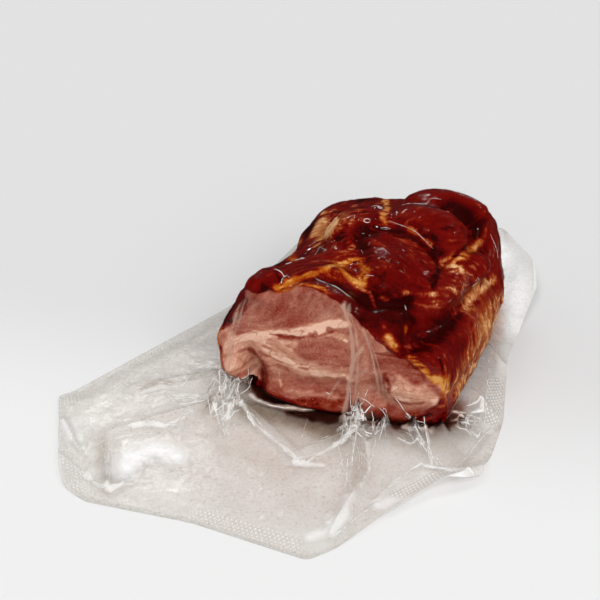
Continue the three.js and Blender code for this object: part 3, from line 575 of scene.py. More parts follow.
# Creases of the film over the meat, drawn as pale lines that are partly painted glints; the dots are painted
# glints: points x, y, z, radius.
MEAT_CREASES = {
    "roll": (((-36, 52, 47), (-32, 50, 51), (-24, 46, 53), (-19, 39, 56), (-20, 35, 57)), 0.2),
    "hook": (((-34, 8, 62), (-31, 8, 61), (-29, 6, 59), (-28, 8, 59)), 0.3),
    "hook_tail": (((-29, 6, 59), (-29.5, 3, 58)), 0.45),
    "collar": (((-17.5, 11, 57.5), (-11.4, 12, 55), (-6.8, 11, 53.7), (-3, 8, 53.8), (-1, 9, 52)), 0.22),
    "face_right": (((-3, 5, 54), (0, 0, 50), (2.5, 0, 40), (3, 0, 30), (2, 0, 23)), 0.16),
    "face_left": (((-46, 0, 52), (-48.3, 0, 43), (-51, 0, 31), (-53, 0, 12)), 0.16),
    "face_far": (((8, 0, 41), (10.6, 0, 33), (13.3, 0, 21.5), (14.5, 0, 12)), 0.16),
    "fan": (((2, 0, 24), (3, 0, 28.5), (6, 0, 34)), 0.14),
    "top_a": (((-5.5, 64, 67), (-3, 70, 64.5)), 0.16),
    "top_b": (((7, 70, 67), (17, 72, 68), (18.5, 79, 67), (24, 79, 68)), 0.16),
    "long_top": (((4, 56.6, 65.4), (14.7, 54, 64.2), (19.6, 52, 62.5), (26, 49.4, 58.5)), 0.16),
    "dot": (((-0.6, 52, 64), (0.6, 51.8, 63.8)), 0.55),
    "lens": (
        ((1.4, 51.8, 63.6), (3.6, 52.6, 64), (5.9, 52.7, 63.5), (3.5, 51.6, 63.2), (1.4, 51.8, 63.6)), 0.2),
    "blob": (((-5.6, 47, 62.6), (-4.4, 47.3, 62.8)), 0.3),
    "brow_a": (((2, 24, 55.7), (6, 22.6, 56.7)), 0.16),
    "brow_b": (((14.4, 38.3, 62), (15.6, 37, 62)), 0.16),
    "fold_end": (((46, 51, 46.6), (46.5, 53, 43), (45, 50, 41)), 0.16),
    "right_lobe": (((46.7, 82, 52), (49.2, 81.6, 46), (51, 82, 39)), 0.16),
    "shelf": (((20.5, 18, 47.5), (22, 14, 47.6)), 0.3),
    "knob_dot": (((41, 78, 56), (41.4, 78, 55)), 0.4),
    "lip": (((-41, -5, 4), (-37, -7, 3), (-30, -8.6, 3), (-19, -7.2, 3), (-13, -6.2, 3)), 0.35),
    "lip_dot_a": (((-24, 0, 6.5), (-23, 0, 6.5)), 0.3),
    "lip_dot_b": (((-17, 0, 7), (-16, 0, 7)), 0.3),
    "lip_dot_c": (((-8.5, 0, 9), (-6.5, 0, 8)), 0.4),
    "cord_a": (((-46, 0, 16), (-50, -2, 10), (-57, -5, 5)), 0.3),
    "cord_b": (((-42, 0, 14), (-47, -2, 9), (-52, -6, 5)), 0.3),
    "cord_c": (((-40, 0, 10), (-43, -3, 6), (-48, -9, 4)), 0.3),
    "cord_d": (((-53, 0, 12), (-56, -1, 8), (-59, 0, 5)), 0.25),
    "string_a": (((6, 0, 12), (5, -3, 8), (4, -9, 6)), 0.35),
    "string_b": (((10, 0, 14), (8, -3, 8), (6, -8, 6)), 0.3),
    "string_c": (((14, 0, 16), (13, -2, 9), (10, -8, 5)), 0.25),
    "string_d": (((2, 0, 14), (3, -3, 8), (4, -8, 6)), 0.25),
    "pleat_high": (((22, 0, 14), (26, -2, 8), (30, -4, 6)), 0.3),
}
# Fine wrinkles of the film over the meat, drawn as faint pale lines that are partly painted glints: middle,
# reach, how many, their run.
WRINKLES = {
    "fold": ((41, 43, 47), 6, 60, (0.3, 0.6, -0.7)),
    "flank": ((51, 42, 26), 13, 70, (0.3, -0.3, -0.9)),
    "tan_patch": ((-27, 66, 54), 8, 24, (0.5, 0.8, 0.1)),
    "brow": ((14, 30, 60), 10, 12, (0.7, -0.7, 0.0)),
    "right_lobe": ((49, 76, 42), 7, 14, (0.1, 0.3, 0.95)),
}
# Small rings of trapped air under the film, outlined in white as painted glints: middle, half length, half
# height.
RINGS = {
    "top": ((-4.4, 51.7, 66.6), 1.5, 1.0),
    "roll_a": ((-27.9, 26.1, 56.9), 2.2, 0.9),
    "roll_b": ((-31, 20.3, 57.7), 1.5, 0.8),
    "top_b": ((-2, 66, 65.5), 1.2, 0.8),
}

# Layers of noise: size of their features in millimetres, seed, strength.
ROUGH = {
    "lumps": ((9.0, 3, 0.5), (4.2, 5, 0.3)),
    "pits": ((2.4, 13, 0.22), (1.3, 14, 0.12)),
    "face": ((6.0, 21, 0.3), (2.2, 22, 0.14)),
    "scatter": ((4.5, 31, 0.8), (1.8, 32, 0.4)),
    "edges": ((3.5, 41, 0.9), (1.3, 42, 0.5)),
    "billow": ((24.0, 53, 0.5), (12.0, 54, 0.35)),
    "ragged": ((6.0, 57, 0.9), (2.4, 59, 0.5)),
    "shift": ((5.0, 58, 0.7),),
    "waver": ((5.0, 60, 0.6),),
}
# Fibres smeared from noise: size of the noise, length of the smear, strength.
FINE_FIBRE = (1.0, 3.8, 0.3)
BROAD_FIBRE = (2.6, 6.5, 0.28)
# How far the fibres stray from their run.
FIBRE_STRAY = 0.35
# Height of the crust's relief in millimetres.
CRUST_RELIEF = {"broad": 0.36, "fine": 0.16, "crack": 1.1}
# First, coarse walk to the skin: rings on the body and the back, points round, start of the walk.
COARSE = {"body": 84, "back": 34, "around": 200}
COARSE_START = 115.0
POLE_START = 60.0
MANY_STEPS = 50

# Heights of the film on the table, in millimetres: its edge, its lowest top and its underside.
EDGE_HEIGHT = 0.3
LOWEST = 0.25
UNDERSIDE = 0.12
# Rings of the underside, as shares of the way from the dome's foot to the bag's edge.
UNDER_SHARES = (1.0, 0.96, 0.9, 0.78, 0.6, 0.4, 0.2)
# Where the film swells in from its edge, and how far from the meat it puffs up and crumples.
PILLOW = (1.5, 12)
PUFF_REACH = 6
CRUMPLE_REACH = 14
# Path along the specks of dried meat juice.
BLOTTED = ((-60, -38), (-20, -56), (4, -50))
# How far outside the dome's centre the rays towards the meat start.
PROBE = 160.0
# Film higher than this belongs to the meat, and creases keep off the film by a gap in metres.
TABLE_TOP = 14
OFF_FILM = 0.00005
# Axes of the rings of trapped air, and the radius of their lines.
RING_ACROSS = np.array([0.96, 0.28, 0])
RING_UP = np.array([-0.15, 0.9, 0.4])
RING_LINE = 0.13
# How many strands are laced across the middle knot.
LACES = 34

# The two families of ridges in an embossed seam, turned against the bag.
EMBOSS_ANGLES = (0.7, -0.5)
CLEAR = (1, 1, 1)
NOISE_ROUGHNESS = 0.6
# Spacing of the nodes in the editor.
NODE_WIDTH = 200
NODE_HEIGHT = 180

# The stage in metres. Suns: angle in degrees, place.
SUNS = {"key": (25, (-0.4, 0.3, 1.0)), "fill": (60, (0.5, -0.85, 0.95))}
# Lamps seen only as glints: share of the softbox power, width, height, place, aim.
GLINTS = {
    "softbox": (1.3, 0.08, 0.045, (-0.307, 0.453, 0.507), (-0.043, -0.107, 0.0)),
    "glint_left": (0.6, 0.10, 0.02, (-0.75, 0.10, 0.55), (0.0, 0.0, 0.04)),
    "glint_top": (0.3, 0.08, 0.02, (-0.15, 0.35, 0.95), (0.0, 0.0, 0.04)),
    "glint_right": (0.6, 0.08, 0.02, (0.70, 0.35, 0.60), (0.0, 0.0, 0.02)),
    "glint_back": (0.8, 0.20, 0.02, (0.10, 0.90, 0.30), (0.0, 0.0, 0.0)),
    "glint_front": (0.4, 0.10, 0.02, (-0.30, -0.60, 0.80), (0.0, 0.0, 0.04)),
}
# The floor's half side, and the stretch of Y in which painted shade darkens it towards the back.
FLOOR_HALF = 4.0
FLOOR_FADE = (-0.10, 0.02)
# Directions between which the mirrored backdrop brightens.
BACKDROP_FADE = (0.55, 0.85)
# The camera's sensor in millimetres.
SENSOR = 36.0
# Where the camera looks, in the shape's millimetres.
TARGET = (-44.05, 82.78, 0)

# Numbers that turn the corner of a cell into a random value.
HASH_AXES = (73856093, 19349663, 83492791)
HASH_SEED = 40503
HASH_SPREAD = 1274126177
# Keeps a division from meeting zero.
TINY = 1e-9

Crease = namedtuple("Crease", "path radius cover warmth")


def noise(points, size, seed):
    """Smooth random values from -1 to 1, with features of the given size."""
    q = points / size + seed * 7.3
    cell = np.floor(q).astype(np.int64)
    f = q - cell
    f = f * f * (3 - 2 * f)
    value = 0
    for corner in itertools.product((0, 1), repeat=3):
        x, y, z = ((cell[..., k] + corner[k]) * HASH_AXES[k] for k in range(3))
        h = x ^ y ^ z ^ (seed * HASH_SEED)
        h = (h ^ (h >> 13)) * HASH_SPREAD & 0x7FFFFFFF
        h = (h ^ (h >> 15)) & 0xFFFF
        wx, wy, wz = (f[..., k] if corner[k] else 1 - f[..., k] for k in range(3))
        value = value + (h / 32767.5 - 1) * (wx * wy) * wz
    return value


def rough(points, kind):
    """The named layers of noise, added up."""
    return sum(noise(points, size, seed) * strength for size, seed, strength in ROUGH[kind])


def crumpled(points, size, seed, steepness):
    """Noise folded into sharp crests, from -1 to 1."""
    return (1 - np.abs(noise(points, size, seed)) * steepness).clip(-1, 1)


def smooth_step(low, high, v):
    """0 at low, 1 at high and beyond, with soft ends; low may be above high."""
    s = np.clip((v - low) / (high - low), 0, 1)
    return s * s * (3 - 2 * s)


def to_line(p, a, b):
    """Distance from each point to the line a-b, and how far along it the nearest point lies."""
    a, b = np.array(a, float), np.array(b, float)
    s = np.clip(((p - a) @ (b - a)) / ((b - a) @ (b - a)), 0, 1)
    return np.linalg.norm(p - a - s[..., None] * (b - a), axis=-1), s


def to_path(p, points):
    """Distance from each point to the path."""
    return np.minimum.reduce([to_line(p, a, b)[0] for a, b in zip(points[:-1], points[1:])])


def near_path(p, path, width):
    """1 on the path, falling away to both sides."""
    return np.exp(-(to_path(p, path) / width) ** 2)


def near_spot(p, spot, reach):
    """1 at the spot, falling away all round."""
    return np.exp(-((np.linalg.norm(p - np.array(spot, float), axis=1) / reach) ** 2))


def turned(u, v, degrees):
    """Coordinates along two axes turned by an angle."""
    c, s = math.cos(math.radians(degrees)), math.sin(math.radians(degrees))
    return u * c + v * s, v * c - u * s


def blend_near(d, e, blend):
    """The nearer of two distances, rounded where they meet."""
    h = np.maximum(blend - np.abs(d - e), 0) / blend
    return np.minimum(d, e) - h * h * blend / 4


def lobe_distance(p, centre, radii, turn, corner):
    """Signed distance to one muscle: a rounded box, or an ellipsoid where corner is 0."""
    q = p - np.array(centre, float)
    q = np.stack([*turned(q[..., 0], q[..., 1], turn), q[..., 2]], -1)
    r = np.array(radii, float)
    if corner:
        a = np.abs(q) - r + corner
        return np.linalg.norm(np.maximum(a, 0), axis=-1) + np.minimum(a.max(-1), 0) - corner
    near = np.linalg.norm(q / r, axis=-1)
    return near * (near - 1) / (np.linalg.norm(q / r ** 2, axis=-1) + TINY)


def field(p):
    """Signed distance to the block's skin, below zero inside."""
    d = None
    for centre, radii, turn, blend, corner in LOBES.values():
        e = lobe_distance(p, centre, radii, turn, corner)
        d = e if d is None else blend_near(d, e, blend)
    for a, b, start, end, blend in STRIPS.values():
        away, s = to_line(p, a, b)
        d = blend_near(d, away - (start + (end - start) * s), blend)
    for path, width, depth in CREASES.values():
        d = d + depth * near_path(p, path, width)
    return np.maximum(d, FLOOR - p[..., 2])


def reach_of(start, way, reach, steps):
    """Walks in from the given distance until the skin is met."""
    for _ in range(steps):
        reach = reach - np.clip(field(start + way * reach[..., None]), -0.5, 8) * 0.85
    return reach


def even_out(grid, passes):
    """A ring grid smoothed along its rows and columns."""
    for _ in range(passes):
        side = (np.roll(grid, 1, 1) + np.roll(grid, -1, 1)) / 2
        up = np.concatenate([grid[:1], grid[:-1]])
        down = np.concatenate([grid[1:], grid[-1:]])
        grid = grid * 0.5 + side * 0.25 + (up + down) * 0.125
    return grid


def resample(grid, rows, columns):
    """A ring grid read at other row and column counts; columns close on themselves."""
    r = np.linspace(0, grid.shape[0] - 1, rows)
    c = np.arange(columns) * grid.shape[1] / columns
    i, j = np.minimum(r.astype(int), grid.shape[0] - 2), c.astype(int)
    fr, fc = (r - i)[:, None], c - j
    k = (j + 1) % grid.shape[1]
    top = grid[i][:, j] * (1 - fc) + grid[i][:, k] * fc
    low = grid[i + 1][:, j] * (1 - fc) + grid[i + 1][:, k] * fc
    return top * (1 - fr) + low * fr


def push_face(p):
    """The cut face with its relief, which dies away into the meat."""
    total_push = 0
    for (cx, cz), (rx, rz), turn, push in FACE_RELIEF.values():
        u, v = turned(p[..., 0] - cx, p[..., 2] - cz, turn)
        u, v = u / rx, v / rz
        total_push = total_push + push * np.exp(-(u * u + v * v))
    out = p.copy()
    out[..., 1] += total_push * np.exp(-p[..., 1] / RELIEF_REACH)
    return out


def ring_faces(around, rows):
    """Quads between rings and fans to a first and a last point, facing out."""
    i = np.arange(around)
    k = (i + 1) % around
    end = 1 + (rows - 1) * around
    blocks = [np.stack([a + i, a + around + i, a + around + k, a + k], 1) for a in range(1, end, around)]
    blocks.append(np.stack([0 * i, 1 + i, 1 + k], 1))
    blocks.append(np.stack([end + i, 0 * i + rows * around + 1, end + k], 1))
    return [face for block in blocks for face in block.tolist()]


def new_object(name, points, faces, masks, material):
    """A mesh object from millimetre points, with its masks as point attributes."""
    mesh = bpy.data.meshes.new(name)
    mesh.from_pydata(((points + SHIFT) * MM).tolist(), [], faces)
    for key, values in masks.items():
        layer = mesh.attributes.new(key, "FLOAT", "POINT")
        layer.data.foreach_set("value", np.ascontiguousarray(values, dtype=np.float32))
    mesh.shade_smooth()
    mesh.materials.append(material)
    mesh.update()
    obj = bpy.data.objects.new(name, mesh)
    bpy.context.scene.collection.objects.link(obj)
    return obj


def axis_grid(body, back, around):
    """Starts on the block's axis and ways out of it, ring by ring, from the cut face to the back."""
    turn = np.linspace(0, 2 * np.pi, around, endpoint=False)
    turn = turn + 0.3 * np.cos(turn)
    ring = np.stack([np.cos(turn), 0 * turn, np.sin(turn)], -1)
    tilt = np.concatenate([np.zeros(body), np.linspace(0, np.pi / 2, back + 2)[1:-1]])[:, None, None]
    along = np.concatenate([np.linspace(0, 1, body), np.ones(back)])
    start = np.repeat((AXIS_START + (AXIS_END - AXIS_START) * along[:, None])[:, None], around, 1)
    return start, ring[None] * np.cos(tilt) + np.array([0, 1, 0]) * np.sin(tilt)


def block_points(sizes):
    """The block's skin as one ring grid, and the way out at each point."""
    start, way = axis_grid(**COARSE)
    reach = reach_of(start, way, np.full(start.shape[:2], COARSE_START), MANY_STEPS)
    grids = (reach, *np.moveaxis(start, -1, 0), *np.moveaxis(way, -1, 0))
    grids = [resample(grid, sizes.body_rows, sizes.around) for grid in grids]
    reach, start, way = grids[0], np.stack(grids[1:4], -1), np.stack(grids[4:], -1)
    way /= np.linalg.norm(way, axis=-1, keepdims=True)
    reach = even_out(reach_of(start, way, reach + 0.6, 6), 2)
    return start + way * reach[..., None], way


def paint(p, bands, scatter, start=0.0):
    """Value left at each point after all bands are laid over each other, edges broken by scatter."""
    value = np.full(len(p), start)
    for path, width, level, edge in bands.values():
        cover = 1 - smooth_step(width - edge, width + edge, to_path(p, path) + scatter)
        value = value * (1 - cover) + level * cover
    return value


def smear(points, way, seed, size, length, strength):
    """Noise drawn out along the given ways."""
    drawn = sum(noise(points + way * s * length, size, seed) for s in np.linspace(-1, 1, 9))
    return np.clip(drawn * strength, -1, 1)


def fibre_pattern(points, seed, runs):
    """Fine and broad fibres along their runs, from about -1 to 1."""
    way = np.zeros_like(points)
    for spot, reach, run in runs.values():
        way += (near_spot(points, spot, reach) + 1e-6)[:, None] * np.array(run, float)
    way /= np.linalg.norm(way, axis=1, keepdims=True) + TINY
    way += FIBRE_STRAY * np.stack([noise(points, 9.0, seed + k) for k in (1, 2, 3)], 1)
    return smear(points, way, seed, *FINE_FIBRE), smear(points, way, seed + 9, *BROAD_FIBRE)


def crust_spots(p):
    """How much of its fibres each part of the crust shows, and how much paler it is, partly by painted light
    and shade.
    """
    grain, shade = np.ones(len(p)), np.zeros(len(p))
    for spot, reach, share, change in CRUST_SPOTS.values():
        near = near_spot(p, spot, reach)
        grain *= 1 - share * near
        shade += change * near
    return grain, shade


def crack_lines(p):
    """Where the crust is cracked, from 0 to 1."""
    lines = np.zeros(len(p))
    for path, _, depth in CREASES.values():
        lines = np.maximum(lines, near_path(p, path, 1.3) * min(1, depth / 3))
    for path, width, strength in CRACKS.values():
        lines = np.maximum(lines, near_path(p, path, width) * strength)
    return lines


def rough_skin(skin, way, fine, broad, relief):
    """The skin with the crust's lumps, fibres, pits and cracks."""
    shape = skin.shape[:2]
    flank = smooth_step(30, 46, skin[..., 0]) * smooth_step(46, 30, skin[..., 2])
    away = rough(skin, "lumps") * (1 + 0.5 * flank)
    away = away + broad.reshape(shape) * CRUST_RELIEF["broad"] + fine.reshape(shape) * CRUST_RELIEF["fine"]
    away = away + rough(skin, "pits") * (0.5 + flank)
    away = away - CRUST_RELIEF["crack"] * crack_lines(skin.reshape(-1, 3)).reshape(shape)
    away = away * relief * smooth_step(0, 4, skin[..., 1])
    skin = skin + way * away[..., None]
    skin[..., 2] = np.maximum(skin[..., 2], FLOOR)
    return skin


def close_block(skin, share):
    """The skin closed by the flat cut face and the back pole, as one list of points."""
    cut = AXIS_START + (skin[0] - AXIS_START) * share[:, None, None]
    back = np.array([0, 1.0, 0])
    reach = reach_of(AXIS_END[None], back[None], np.array([POLE_START]), MANY_STEPS)[0]
    pole = (AXIS_END + back * reach)[None]
    return np.concatenate([AXIS_START[None], cut.reshape(-1, 3), skin.reshape(-1, 3), pole])


def shown_cut(flat, on_cut, from_rim, edges):
    """1 where the cut shows, 0 where the crust laps over its edge."""
    lap = np.full(len(flat), 0.7)
    for spot, spread, wide in FACE_RIM.values():
        lap = np.maximum(lap, wide * near_spot(flat, spot, spread))
    shown = on_cut * smooth_step(-0.5, 0.5, from_rim - (lap + edges * 0.8))
    for path, width in FACE_LAPS.values():
        shown *= smooth_step(width - 0.6, width + 0.6, to_path(flat, path) + edges * 0.7)
    return shown


def skin_fat(p, scatter):
    """Fat on the crust, and its tone from amber to pale."""
    fat, weight, tone = np.zeros(len(p)), np.full(len(p), 0.02), np.full(len(p), 0.02)
    for path, width, strength, pale in SKIN_FAT.values():
        away = np.maximum(to_path(p, path) + scatter * min(1.0, 0.3 + width / 5), 0) / (width * 1.15)
        cover = np.exp(-away ** 2) * strength
        fat = np.maximum(fat, cover)
        weight += cover ** 2
        tone += cover ** 2 * pale
    return fat, tone / weight


def crease_shade_lines(p):
    """Painted shade in the crust's creases and cracks, from 0 to 1."""
    deep = np.zeros(len(p))
    for path, width, depth in CREASES.values():
        away, strength = to_path(p, path), min(1, depth / 3)
        wide, fine = (np.exp(-(away / reach) ** 2) * strength for reach in (width * 1.1, 1.4))
        deep = np.maximum(deep, np.maximum(wide * 0.8, fine))
    for path, width, strength in CRACKS.values():
        deep = np.maximum(deep, strength * near_path(p, path, width))
    return deep


def stains_and_shade(flat, edges):
    """The cut's brown lines, partly painted shade, from 0 to 1."""
    stain = np.zeros(len(flat))
    for path, width, strength in FACE_STAINS_AND_SHADE.values():
        away = to_path(flat, path) + edges * 0.9
        stain = np.maximum(stain, strength * (1 - smooth_step(width * 0.3, width * 1.5, away)))
    return stain


def build_meat(sizes, material):
    """The block of bacon, with its crust, its fat and its cut face."""
    skin, way = block_points(sizes)
    grain, shade = crust_spots(skin.reshape(-1, 3))
    fine, broad = (fibre * grain for fibre in fibre_pattern(skin.reshape(-1, 3), 61, FIBRES))
    skin = rough_skin(skin, way, fine, broad, sizes.relief)
    share = np.linspace(0, 1, sizes.face_rings + 1)[1:-1]
    around = sizes.around
    plain = close_block(skin, share)
    cut_count = 1 + len(share) * around

    def on_block(on_face, on_skin):
        """Values for the cut face's points, the skin's and the back pole."""
        return np.concatenate([on_face + np.zeros(cut_count), on_skin, [0.0]])

    on_cut = on_block(1.0, np.zeros(len(shade)))
    flat = plain[:, [0, 2]]
    edges = rough(plain, "edges")
    face_fat = paint(flat, FACE_BANDS, edges, 0.6)
    level = np.array([1.0, 0, 1.0])
    points = push_face(plain)
    points[:, 1] += (rough(plain * level, "face") - (face_fat - 0.5) * 0.35) * on_cut

    from_rim = np.full(len(plain), 99.0)
    reach = np.linalg.norm(skin[0] - AXIS_START, axis=1)
    from_rim[1:cut_count] = ((1 - share)[:, None] * reach).reshape(-1)
    face_fine, face_broad = fibre_pattern(plain[:cut_count] * level, 63, FACE_RUN)
    fibres, strands = on_block(face_fine, fine), on_block(face_broad, broad)
    fat, tone = skin_fat(plain, rough(plain, "scatter") + strands * 2.0 + fibres * 1.2)
    # The deep mask is painted shade in creases and cracks, the shade mask partly painted light and shade, and
    # the cut's brown lines partly painted shade.
    masks = {
        "cut": shown_cut(flat, on_cut, from_rim, edges), "fat": fat, "tone": tone,
        "deep": crease_shade_lines(plain), "face_fat": face_fat, "stain": stains_and_shade(flat, edges),
        "fibre": fibres, "strand": strands, "shade": on_block(0.0, shade),
    }
    rings = len(share) + len(skin)
    return new_object("bacon_block", points, ring_faces(around, rings), masks, material)


def outline_points(count):
    """The bag's outline, evenly spaced, its corners slightly eased."""
    corners = np.array(list(OUTLINE.values()), float)
    closed = np.concatenate([corners, corners[:1]])
    lengths = np.concatenate([[0], np.cumsum(np.linalg.norm(np.diff(closed, axis=0), axis=1))])
    at = np.arange(count) * lengths[-1] / count
    p = np.stack([np.interp(at, lengths, closed[:, k]) for k in (0, 1)], 1)
    for _ in range(10):
        p = p * 0.5 + (np.roll(p, 1, 0) + np.roll(p, -1, 0)) * 0.25
    return p


def line_height(xy, a, b):
    """Distance to the line a-b, and the line's height at its nearest point."""
    away, s = to_line(xy, a[:2], b[:2])
    return away, a[2] + (b[2] - a[2]) * s


def ridge_height(xy):
    """The film's main folds: a low swelling with a sharp crest."""
    z = np.zeros(xy.shape[:-1])
    for a, b, width in FILM_FOLDS.values():
        away, height = line_height(xy, a, b)
        shape = 0.35 * np.exp(-(away / width) ** 2) + 0.65 * np.exp(-away / (width * 0.28))
        z = np.maximum(z, height * shape)
    return z


def crease_height(xy):
    """Low sharp ridges under the creases."""
    z = np.zeros(xy.shape[:-1])
    for path, radius in SHEET_CREASES.values():
        z = np.maximum(z, (0.6 + radius * 2.5) * np.exp(-to_path(xy, path) / 1.1))
    return z


def lift_height(xy):
    """How far the raised parts of the film stand off the table."""
    z = np.zeros(xy.shape[:-1])
    for a, b, across in LIFTS.values():
        away, height = line_height(xy, a, b)
        z = np.maximum(z, height * np.clip(1 - away / across, 0, 1) ** 1.5)
    return z


def knot_facets(away, dice, reach, height, fade):
    """One knot's height, painted highlights on its folds and painted shade on dark facets: tilted facets with
    sharp folds between.
    """
    seeds = dice.uniform(-2.2, 2.2, (int(reach * 7), 2)) * reach
    gap = np.linalg.norm((away[:, None] - seeds[None]) * np.array([1.3, 0.75]), axis=-1)
    order = np.argsort(gap, 1)[:, :2]
    first, second = np.take_along_axis(gap, order, 1).T
    tilt, tone = dice.normal(0, 0.42, (len(seeds), 2)), dice.uniform(0, 1, len(seeds))
    own, other = order.T
    fold = smooth_step(0.9, 0.25, second - first)
    facet = ((away - seeds[own]) * tilt[own]).sum(1) + tone[own] * height * 0.35
    rise = fade * (facet + fold * 0.5 + height * 0.25)
    lit = fold * smooth_step(0.15, 0.6, fade) * (0.35 + 0.65 * tone[other])
    dark = smooth_step(0.55, 0.1, tone[own]) * (1 - fold) * smooth_step(0.1, 0.7, fade)
    return rise, lit, dark


def knot_height(xy):
    """Crumpled film at all the knots: height, closeness, painted highlights on the folds, painted shade on
    dark facets.
    """
    flat = xy.reshape(-1, 2)
    z, near, folds, darks = (np.zeros(len(flat)) for _ in range(4))
    for k, (centre, reach, height, _) in enumerate(KNOTS.values()):
        rho = np.linalg.norm(flat - np.array(centre, float), axis=1)
        close = np.nonzero(rho < reach * 2.2)[0]
        fade = np.exp(-(rho[close] / reach) ** 2) * min(1, height / 2.5)
        away = flat[close] - np.array(centre, float)
        rise, lit, dark = knot_facets(away, np.random.default_rng(70 + k), reach, height, fade)
        z[close] += rise
        for mask, values in ((near, fade), (folds, lit), (darks, dark)):
            mask[close] = np.maximum(mask[close], values)
    return [v.reshape(xy.shape[:-1]) for v in (z, near, folds, darks)]


def meat_distance(tree, ways):
    """How far the meat reaches from the dome's centre each way, or 0 where it doesn't."""
    origin = (DOME_CENTRE + SHIFT) * MM
    found = []
    for way in ways.reshape(-1, 3):
        hit = tree.ray_cast(Vector(origin + way * PROBE * MM), Vector(-way), PROBE * MM)
        found.append(PROBE - hit[3] / MM if hit[0] is not None else 0)
    return np.array(found).reshape(ways.shape[:-1])


def film_dome(sizes, meat, spoke):
    """Rings of film over the meat, their slack over its hollows, and the height of its foot."""
    tree = BVHTree.FromObject(meat, bpy.context.evaluated_depsgraph_get())
    level = meat_distance(tree, np.concatenate([spoke, np.full((len(spoke), 1), 0.02)], 1))
    for _ in range(3):
        level = np.maximum(level, (np.roll(level, 1) + np.roll(level, -1)) / 2)
    foot_xy = BAG_CENTRE + spoke * level[:, None]
    foot = FOOT["height"] + (FOOT["front"] - FOOT["height"]) * smooth_step(9, -1, foot_xy[:, 1])
    end = np.arctan2(FILM + np.maximum(foot, ridge_height(foot_xy)) - DOME_CENTRE[2], level)
    tilt = np.pi / 2 + (end - np.pi / 2) * np.linspace(0, 1, sizes.dome_rows)[:, None]
    ways = np.stack([spoke[:, 0] * np.cos(tilt), spoke[:, 1] * np.cos(tilt), np.sin(tilt)], -1)
    bare = meat_distance(tree, ways)
    taut = bare + sizes.cling
    for _ in range(sizes.taut_passes):
        taut = np.maximum(bare + sizes.cling, even_out(taut, 1))
    return DOME_CENTRE + ways * taut[..., None], taut - bare - sizes.cling, foot


def skirt_height(skirt, foot, dome_end):
    """Height of the film on the table: pillow, foot, folds, creases, crumples, knots and raised parts."""
    xy, out = skirt.xy, skirt.out
    pillow = smooth_step(*PILLOW, skirt.edge)
    z = EDGE_HEIGHT + pillow * (FILM - EDGE_HEIGHT + PUFF * np.clip(out / PUFF_REACH, 0, 1))
    at_foot = foot * np.exp(-out / FOOT["fall"]) * smooth_step(0, 6, skirt.edge)
    z = z + np.maximum(at_foot, ridge_height(xy))
    z = np.maximum(z, z * 0.6 + crease_height(xy))
    skirt.solid = np.concatenate([xy, z[..., None]], -1)
    z = z + pillow * (rough(skirt.solid, "billow") + 0.4)
    coarse, fine = crumpled(skirt.solid, 7.0, 51, 2.2), crumpled(skirt.solid, 3.0, 52, 2.4)
    z = z + (coarse * 0.55 + fine * 0.3) * np.exp(-out / CRUMPLE_REACH) * 0.7
    z = z + coarse * 0.2 * pillow + fine * 0.06 * pillow
    z = np.maximum(z + skirt.knots * np.clip(out / 2.5, 0, 1), LOWEST)
    join = np.clip(1 - out / 1.5, 0, 1)
    return z * (1 - join) + dome_end * join + lift_height(xy)


def film_skirt(sizes, dome, foot, outline, spoke, length):
    """The film from the dome's foot out to the outline, and what its masks are made from."""
    start = np.linalg.norm(dome[-1][:, :2] - BAG_CENTRE, axis=1)
    share = np.linspace(0, 1, sizes.skirt_rows + 1)[1:, None] ** 1.35
    r = start + (length - start) * share
    skirt = SimpleNamespace(start=start, xy=BAG_CENTRE + spoke * r[..., None], out=r - start)
    skirt.edge = to_path(skirt.xy, np.concatenate([outline[::8], outline[:1]]))
    skirt.knots, skirt.at_knot, skirt.folds, skirt.darks = knot_height(skirt.xy)
    z = skirt_height(skirt, foot, dome[-1, :, 2])
    skirt.points = np.concatenate([skirt.xy, z[..., None]], -1)
    skirt.front = smooth_step(20, -2, skirt.xy[..., 1])
    skirt.ragged = rough(skirt.solid, "ragged")
    return skirt


def film_underside(start, spoke, length):
    """The lower film, from the outline back towards the bag's middle."""
    rings = []
    for share in UNDER_SHARES:
        xy = BAG_CENTRE + spoke * (start + (length - start) * share)[:, None]
        rings.append(np.concatenate([xy, (lift_height(xy) + UNDERSIDE)[:, None]], 1))
    return np.array(rings)


def juice_and_shadow_mask(skirt):
    """Meat juice and painted shadow under the film, along the meat's front foot and in its pools."""
    pools = smooth_step(6.5, 3.0, skirt.out + skirt.ragged * 1.2) * skirt.front
    for path, width, amount in JUICE_AND_SHADOW_POOLS.values():
        away = to_path(skirt.xy, path) + skirt.ragged * 1.2
        pools = np.maximum(pools, amount * smooth_step(width * 1.5, width * 0.6, away))
    return pools * (0.9 - 0.35 * skirt.at_knot)


def haze_mask(dome, slack, lifted_haze):
    """Milky lines of the film over the cut face, and its haze where it stands off the meat."""
    on_face = dome[..., [0, 2]]
    waver = rough(dome, "waver")
    milk = np.zeros(dome.shape[:2])
    for path, width, strength in FACE_HAZE.values():
        away = to_path(on_face, path) + waver * min(width, 1.0)
        milk = np.maximum(milk, strength * (1 - smooth_step(width * 0.4, width * 1.6, away)))
    lifted = smooth_step(0.4, 3.0, slack) * lifted_haze
    return np.maximum(milk, lifted) * smooth_step(6, 1.5, dome[..., 1])


def seam_mask(skirt):
    """The embossed seam along the bag's edge, clear in places and faint elsewhere."""
    marked = np.full(skirt.out.shape, 0.03)
    for path, width in EMBOSSED.values():
        marked = np.maximum(marked, 1 - smooth_step(width * 0.6, width * 1.2, to_path(skirt.xy, path)))
    return smooth_step(0.6, 1.6, skirt.edge) * smooth_step(9.5, 7.5, skirt.edge) * marked


